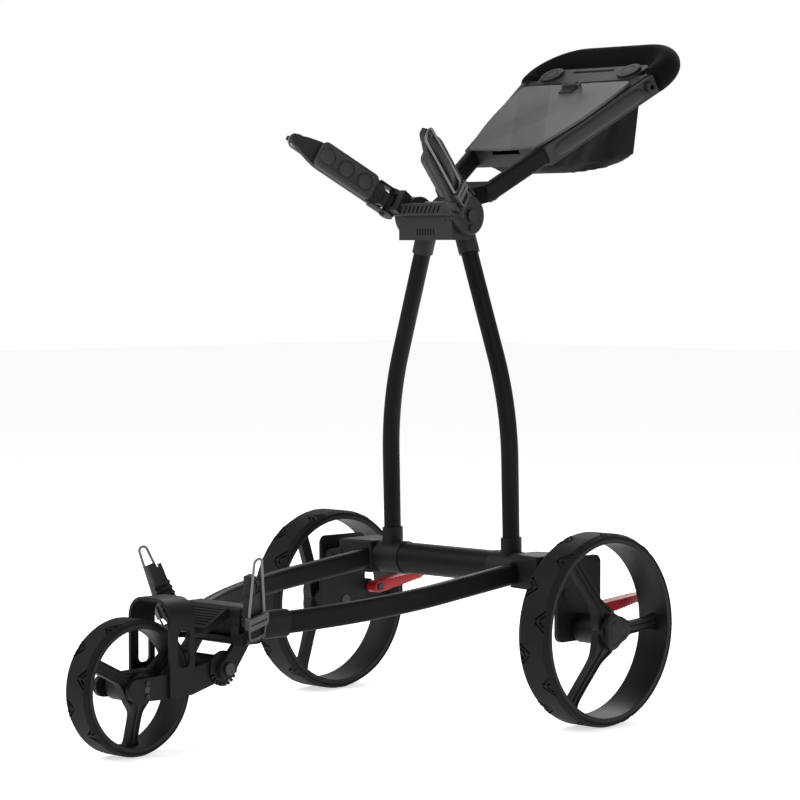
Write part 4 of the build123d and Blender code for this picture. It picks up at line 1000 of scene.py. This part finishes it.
def dome(y):
    """A domed stud in a ring groove, spun from a half outline."""
    face = PAD_FACE - 0.001
    radius = STUD_RADIUS
    outline = [(face + 0.0018, 0.0), (face + 0.0018, radius + 0.0022), (face - 0.0006, radius + 0.0020),
               (face - 0.0009, radius + 0.0012), (face + 0.0006, radius + 0.0003), (face - 0.001, radius)]
    for step in range(1, 7):
        lift = math.radians(15 * step)
        outline.append((face - 0.001 - (STUD_HEIGHT - 0.001) * math.sin(lift), radius * math.cos(lift)))
    piece = ring("pad_stud", outline, 36)
    piece.data.transform(Matrix.Translation((0, y, 0)))
    return piece


stud_middle = PAD_START + PAD_LENGTH / 2 + STUD_SHIFT
pad = join(pad_slab(), *(dome(stud_middle + STUD_PITCH * step) for step in (-1, 0, 1)))
surface(pad, 40, PAD_RUBBER)
put_on(pad, "studded_pad", ARM_PLACE, "top_arm_{side}", "top_pad")
print("pads placed")

# %% [markdown]
# ## Bracket arms
# The CAD arms are plain blades. Here each one becomes a moulding: a broad band with a rib down
# its outside, between the two strands of the elastic loop, and a bolted root plate. A flat grid
# is extruded into a slab, and one function of place gives the slab its outline and its rib. The
# pivot eye keeps its own place and size. An upper arm also has a round cheek on each end of its
# eye, with a strap that ties it to the band.

# %% Slab, eye and screws
EYE_R = 0.0085
BAR_BEVEL = 0.0008


def slab(name, cells, place):
    """A closed slab from a grid; place(u, v, outer) puts each point, outer is 0 inside and 1 outside."""
    piece = begin(name, bpy.ops.mesh.primitive_grid_add, x_subdivisions=cells[0],
                  y_subdivisions=cells[1], size=1)
    bpy.ops.mesh.select_mode(type="FACE")
    bpy.ops.mesh.select_all(action="SELECT")
    bpy.ops.mesh.extrude_region_move(TRANSFORM_OT_translate={"value": (0, 0, 1)})
    shape(piece, lambda p: place(p.x + 0.5, p.y + 0.5, p.z))
    close_up()
    return piece


def round_bar(name, radius, ends):
    """A bevelled round bar along Z."""
    low, high = ends
    piece = begin(name, bpy.ops.mesh.primitive_cylinder_add, vertices=32, radius=radius,
                  depth=high - low, location=(0, 0, 0))
    shape(piece, lambda p: p + Vector((0, 0, (low + high) / 2)))
    pick(piece, "edges", lambda p: min(abs(p.z - low), abs(p.z - high)) < 1e-5)
    bpy.ops.mesh.bevel(offset=BAR_BEVEL, segments=2)
    close_up()
    return piece


def block(name, x, y, z, rim=0.001):
    """A box between pairs of limits, with every edge rounded."""
    piece = begin(name, bpy.ops.mesh.primitive_cube_add, size=1)
    shape(piece, lambda p: Vector((x[0] + (p.x + 0.5) * (x[1] - x[0]), y[0] + (p.y + 0.5) * (y[1] - y[0]),
                                   z[0] + (p.z + 0.5) * (z[1] - z[0]))))
    bpy.ops.mesh.select_all(action="SELECT")
    bpy.ops.mesh.bevel(offset=rim, segments=2)
    close_up()
    return piece


def screw(name, x, y, z, radius=0.0026, depth=0.001):
    """A low round head with a round recess, facing -X."""
    piece = begin(name, bpy.ops.mesh.primitive_cylinder_add, vertices=24, radius=radius, depth=depth)
    pick(piece, "faces", lambda p: p.z > depth / 2 - 1e-6)
    bpy.ops.mesh.inset(thickness=radius * 0.45)
    bpy.ops.transform.translate(value=(0, 0, -depth * 0.6))
    shape(piece, lambda p: Vector((x - p.z, y + p.y, z + p.x)))
    close_up()
    return piece


# %% Upper arm
UPPER_LENGTH = 0.196
UPPER_ROOT = 0.013
CHEEK_R = 0.0125
CHEEK_Z = (0.0196, 0.0224)


def ease(value):
    value = min(1.0, max(0.0, value))
    return value * value * (3 - 2 * value)


def upper_half(y):
    """Half width of an upper arm at y."""
    wide = 0.0117 + 0.0098 * ease((y - UPPER_ROOT) / 0.022)
    return wide - 0.0115 * ease((y - 0.135) / 0.06)


def upper_place(u, v, outer):
    y = UPPER_ROOT + (UPPER_LENGTH - UPPER_ROOT) * v
    z = (2 * u - 1) * upper_half(y)
    corner = 0.010 * max(0.0, abs(2 * u - 1) - 0.55) / 0.45
    y -= corner * ease((v - 0.86) / 0.14)
    swell = math.sin(math.pi * min(1.0, max(0.0, (y - 0.046) / 0.140)))
    rib = 0.010 * swell * (1.0 - ease((abs(z) - 0.0045) / 0.003))
    return Vector((-0.004 + outer * (0.008 + rib), y, z))


def upper_arm():
    body = slab("upper_arm_band", (18, 44), upper_place)
    eye = round_bar("upper_arm_eye", EYE_R, (-0.0117, 0.0117))
    neck = block("upper_arm_neck", (-0.005, 0.005), (0.002, 0.018), (-0.0115, 0.0115))
    plate = block("upper_arm_plate", (-0.0052, -0.0035), (0.018, 0.034), (-0.0085, 0.0085), 0.0006)
    screws = [screw("plate_screw", -0.0052, 0.026, z) for z in (-0.0045, 0.0045)]
    post = block("upper_arm_post", (0.003, 0.0115), (0.187, 0.192), (-0.004, 0.004))
    lip = block("upper_arm_lip", (0.0100, 0.0130), (0.187, 0.199), (-0.004, 0.004))
    cheeks = []
    for side in (-1, 1):
        ends = sorted((side * CHEEK_Z[0], side * CHEEK_Z[1]))
        cheeks.append(round_bar("upper_arm_cheek", CHEEK_R, ends))
        cheeks.append(block("upper_arm_strap", (-0.0085, 0.0085), (0.0, 0.034), ends))
    return join(body, eye, neck, plate, post, lip, *screws, *cheeks)


# %% Lower arm
LOWER_LEAN = math.radians(14)
LOWER_SPLAY = math.radians(17)
LOWER_PLACE = (Matrix.Translation((0, REAR_AXLE.y - 0.516, 0.165)) @ Matrix.Rotation(LOWER_LEAN, 4, "X")
               @ Matrix.Translation((0.084, 0, 0)) @ Matrix.Rotation(LOWER_SPLAY, 4, "Y")
               @ Matrix.Rotation(math.pi / 2, 4, "X"))
WAVE = 0.0085


def lower_place(u, v, outer):
    """Base of a lower arm: wavy on its inner face, narrower towards its head."""
    y = 0.010 + 0.060 * v
    half = 0.012 + 0.0048 * ease((y - 0.010) / 0.012) - 0.002 * ease((y - 0.04) / 0.03)
    wave = 0.0016 * math.sin(2 * math.pi * y / WAVE) * ease((y - 0.020) / 0.008)
    return Vector((-0.004 + outer * 0.008 + (1 - outer) * (wave - 0.0010), y, (2 * u - 1) * half))


def lower_arm():
    body = slab("lower_arm_base", (10, 60), lower_place)
    eye = round_bar("lower_arm_eye", EYE_R, (-0.012, 0.012))
    neck = block("lower_arm_neck", (-0.0045, 0.0045), (0.002, 0.016), (-0.0118, 0.0118))
    head = block("lower_arm_head", (-0.0085, 0.004), (0.064, 0.100), (-0.001, 0.0140), 0.002)
    slats = [block("lower_arm_slat", (-0.004, 0.003), (0.064, top), (z, z + 0.0035), 0.0008)
             for z, top in ((-0.0140, 0.096), (-0.0075, 0.092))]
    post = block("lower_arm_post", (0.003, 0.0115), (0.088, 0.093), (-0.001, 0.004))
    return join(body, eye, neck, head, post, *slats)


# %% Put the arms on
for model, label, place, kind in ((upper_arm(), "ribbed_arm", ARM_PLACE, "top_arm"),
                                  (lower_arm(), "waved_arm", LOWER_PLACE, "lower_arm")):
    surface(model, 38, MOULDING)
    put_on(model, label, place, kind + "_{side}", kind)
print("arms placed")

# %% [markdown]
# ## Release levers
# A lever is a thick bar that gets thinner towards its tip, smooth on top and with finger ribs
# below. It is one slab: its lower face follows a wave, its tip is rounded in plan, and its root
# is a plain round eye on the pin.

# %% Levers
LEVER_LENGTH = 0.110
LEVER_HALF_WIDTH = 0.0112
LEVER_RIB = 0.0062
LEVER_EYE_R = 0.0098
LEVER_ANGLE = math.atan(9 / 108)
LEVER_PLACE = (Matrix.Translation((0.2410, REAR_AXLE.y + 0.054, 0.167))
               @ Matrix.Rotation(LEVER_ANGLE, 4, "X"))


def lever_place(u, v, outer):
    """Point of the lever: u across it, v from the pin to the tip, outer is 0 below and 1 above."""
    y = 0.004 + (LEVER_LENGTH - 0.004) * v
    narrow = 1 - 0.42 * ease((y - 0.094) / 0.016) ** 2
    top = 0.0085 + 0.0030 * ease(y / 0.03) - 0.0012 * (2 * u - 1) ** 2
    low = -0.0090 + 0.0035 * ease((y - 0.012) / 0.03) + 0.0060 * ease((y - 0.03) / 0.08)
    ribs = ease((y - 0.030) / 0.010) * ease((0.104 - y) / 0.006)
    low += 0.0014 * ribs * math.sin(2 * math.pi * y / LEVER_RIB)
    return Vector(((2 * u - 1) * LEVER_HALF_WIDTH * narrow, y, top if outer > 0.5 else low))


def lever():
    body = slab("lever_bar", (10, 140), lever_place)
    modify(body, "BEVEL", width=0.0012, segments=2, limit_method="ANGLE", angle_limit=math.radians(60))
    eye = round_bar("lever_eye", LEVER_EYE_R, (-LEVER_HALF_WIDTH, LEVER_HALF_WIDTH))
    eye.data.transform(Matrix.Rotation(math.pi / 2, 4, "Y"))
    return join(body, eye)


model = lever()
surface(model, 40, LEVER_RED)
put_on(model, "ribbed_lever", LEVER_PLACE, "lever_{side}", "release_lever")
print("levers placed")

# %% [markdown]
# ## Plugs in the carrier plates
# The locating hole in each carrier plate gets a black moulded plug with a low flange, so that no
# light shows through the plate.

# %% Plugs
PLUG_R = 0.0068
FLANGE_R = 0.0084
PLUG_SPOT = (0, REAR_AXLE.y - 0.034, 0.201)
PLUG_PLACE = Matrix.Translation(PLUG_SPOT) @ Matrix.Rotation(math.pi / 2, 4, "Y")
plug = join(round_bar("plate_plug", PLUG_R, (0.2552, 0.2633)),
            round_bar("plug_flange", FLANGE_R, (0.2626, 0.2638)))
surface(plug, 40, FRAME_MOULDING)
put_on(plug, "plate_plug", PLUG_PLACE, "carrier_{side}")

# %% [markdown]
# ## Side rails of the console
# A rounded rail runs along each side of the console tray and makes its edge look thick. It is a
# slab too, whose section is half an ellipse.

# %% Rails
RAIL_SEAT = 0.0108
RAIL_START = 0.198
RAIL_END = 0.392
RAIL_OUT = 0.0065
RAIL_HALF_HEIGHT = 0.0125


def rail_place(u, v, outer):
    """Point of a rail: u round its section, v along the tray, outer is 0 at the tray's wall."""
    s = RAIL_START + (RAIL_END - RAIL_START) * v
    taper = math.sqrt(max(0.02, 1 - (2 * v - 1) ** 12))
    lift = (2 * u - 1) * RAIL_HALF_HEIGHT * taper
    bulge = RAIL_OUT * math.sqrt(max(0.0, 1 - (2 * u - 1) ** 2)) * taper
    side = tube_x(s) + RAIL_SEAT + outer * bulge
    return Vector((side, s, lift - 0.002))


rail = slab("console_rail", (14, 60), rail_place)
surface(rail, 45, CONSOLE_MOULDING)
put_on(rail, "console_rail", HANDLE, "handle")
print("rails placed")

# %% [markdown]
# ## Spoked rims
# A rim is a spun barrel, a spun hub and three spokes. A spoke is one slab that is wide at the
# hub, narrow in its middle and a little wider again at the barrel. Its outer face has a ridge
# along each edge and one down the middle, and it leans out from the barrel to the hub's end.

# %% Rims
def spoke(hub_x, hub_r, reach):
    def place(u, v, outer):
        across = 2 * u - 1
        r = hub_r * 0.55 + (reach - hub_r * 0.55) * v
        half = 0.0095 + 0.0125 * (1 - ease(v / 0.34)) + 0.0040 * ease((v - 0.82) / 0.18)
        lean = hub_x * (1 - ease(v * 0.96)) ** 0.9
        thick = 0.0130 - 0.0050 * ease(v / 0.5)
        edge = ease((abs(across) - 0.70) / 0.12)
        rib = 1 - ease((abs(across) - 0.10) / 0.10)
        ridge = 0.0026 * max(edge, rib) * ease((v - 0.04) / 0.1)
        return Vector((lean + (outer - 0.5) * thick + outer * ridge, r, across * half))

    return slab("wheel_spoke", (34, 26), place)


def rim(name, width, hole, hub_profile, hub_x, hub_r, angles):
    """A barrel, a hub and a spoke at each angle."""
    half = width / 2
    seat = hole + RIM_WALL
    lip = seat + 0.003
    side = [(half - 0.004, hole - 0.0010), (0.0008, hole), (0, hole + 0.0008), (0, lip - 0.0006),
            (0.0006, lip), (0.003, lip), (0.003, seat)]
    barrel = ring(name, two_sided(half, side), RING_STEPS)
    hub = ring(name + "_hub", hub_profile, 64)
    spokes = []
    for angle in angles:
        made = spoke(hub_x, hub_r, hole + 0.002)
        made.data.transform(Matrix.Rotation(math.radians(angle), 4, "X"))
        spokes.append(made)
    whole = join(barrel, hub, *spokes)
    surface(whole, 32, WHEEL_MOULDING)
    return whole


def hub_outline(inner, outer, radius, flare, bore):
    """Closed outline of a hub with a bearing seat in each end and a flare towards its outer end."""
    seat = 0.0143
    depth = 0.008
    wide = radius + flare
    return [(inner, seat), (inner, radius - 0.0012), (inner + 0.0012, radius), (outer - 0.022, radius),
            (outer - 0.007, wide), (outer - 0.0008, wide), (outer, wide - 0.0008),
            (outer, seat), (outer - depth, seat), (outer - depth, bore), (inner + depth, bore),
            (inner + depth, seat)]


REAR_HUB = hub_outline(-0.031, 0.033, 0.0225, 0.0035, 0.0085)
rear_rim = rim("rear_rim_model", REAR_WIDTH, REAR_HOLE, REAR_HUB, 0.021, 0.024, REAR_SPOKES)
put_on(rear_rim, "spoked_rim", Matrix.Translation(REAR_AXLE), "rear_wheel_{side}",
       "rear_rim")
FRONT_HUB = hub_outline(-0.030, 0.030, 0.0205, 0.0030, 0.0075)
front_rim = rim("front_rim_model", FRONT_WIDTH, FRONT_HOLE, FRONT_HUB, 0.015, 0.022, FRONT_SPOKES)
put_in_front(front_rim, "spoked_rim_front", "front_rim")

# %% [markdown]
# ## Hub caps
# The cap on each rear hub is a low dome on three rounded lobes. A fan of rings is drawn in, each
# ring a little higher and smaller than the one outside it.

# %% Caps
CAP_RINGS = ((1.0, 0.0), (1.0, 0.0052), (0.975, 0.0074), (0.92, 0.0086), (0.72, 0.0092), (0.69, 0.0086),
             (0.62, 0.0086), (0.59, 0.0092), (0.3, 0.0093))
CAP_SIDES = 96
CAP_SEAT = 0.0333


def cap_radius(angle):
    """Outline of three rounded lobes, one on each spoke."""
    return 0.0262 + 0.0045 * math.cos(3 * angle)


def hub_cap():
    piece = begin("hub_cap_dome", bpy.ops.mesh.primitive_circle_add, vertices=CAP_SIDES, radius=1,
                  fill_type="NGON")
    bpy.ops.mesh.select_all(action="SELECT")
    for _ in CAP_RINGS[1:]:
        bpy.ops.mesh.extrude_region_move(TRANSFORM_OT_translate={"value": (0, 0, 1)})
    turn = 2 * math.pi / CAP_SIDES

    def place(p):
        share, height = CAP_RINGS[round(p.z)]
        angle = round(math.atan2(p.y, p.x) / turn) * turn
        r = share * cap_radius(angle)
        return Vector((height, r * math.cos(angle), r * math.sin(angle)))

    shape(piece, place)
    close_up()
    surface(piece, 35, WHEEL_MOULDING)
    return piece


CAP_PLACE = Matrix.Translation(REAR_AXLE + Vector((CAP_SEAT, 0, 0)))
put_on(hub_cap(), "lobed_cap", CAP_PLACE, "rear_wheel_{side}", "hub_cap")
print("caps placed")

# %% [markdown]
# ## The floor
# The floor is much larger than the cart, so its edge never shows.

# %% Floor
FLOOR_SIZE = 30
FLOOR_DROP = 0.0002
FLOOR_GLOW = 0.62
floor = begin("studio_floor", bpy.ops.mesh.primitive_plane_add, size=1, location=(0, 0, 0))
shape(floor, lambda p: Vector((p.x * FLOOR_SIZE, p.y * FLOOR_SIZE, -FLOOR_DROP)))
bpy.ops.object.mode_set(mode="OBJECT")
FLOOR = finish("pale_floor", (0.93, 0.93, 0.93), 0.85, 60, 0.02, dust=0.1,
               dust_color=(0.95, 0.95, 0.95), specular=0.1)
feed(FLOOR.node_tree.nodes["Principled BSDF"], Emission_Color=(1.0, 1.0, 1.0, 1),
     Emission_Strength=FLOOR_GLOW)
dress(floor, FLOOR)
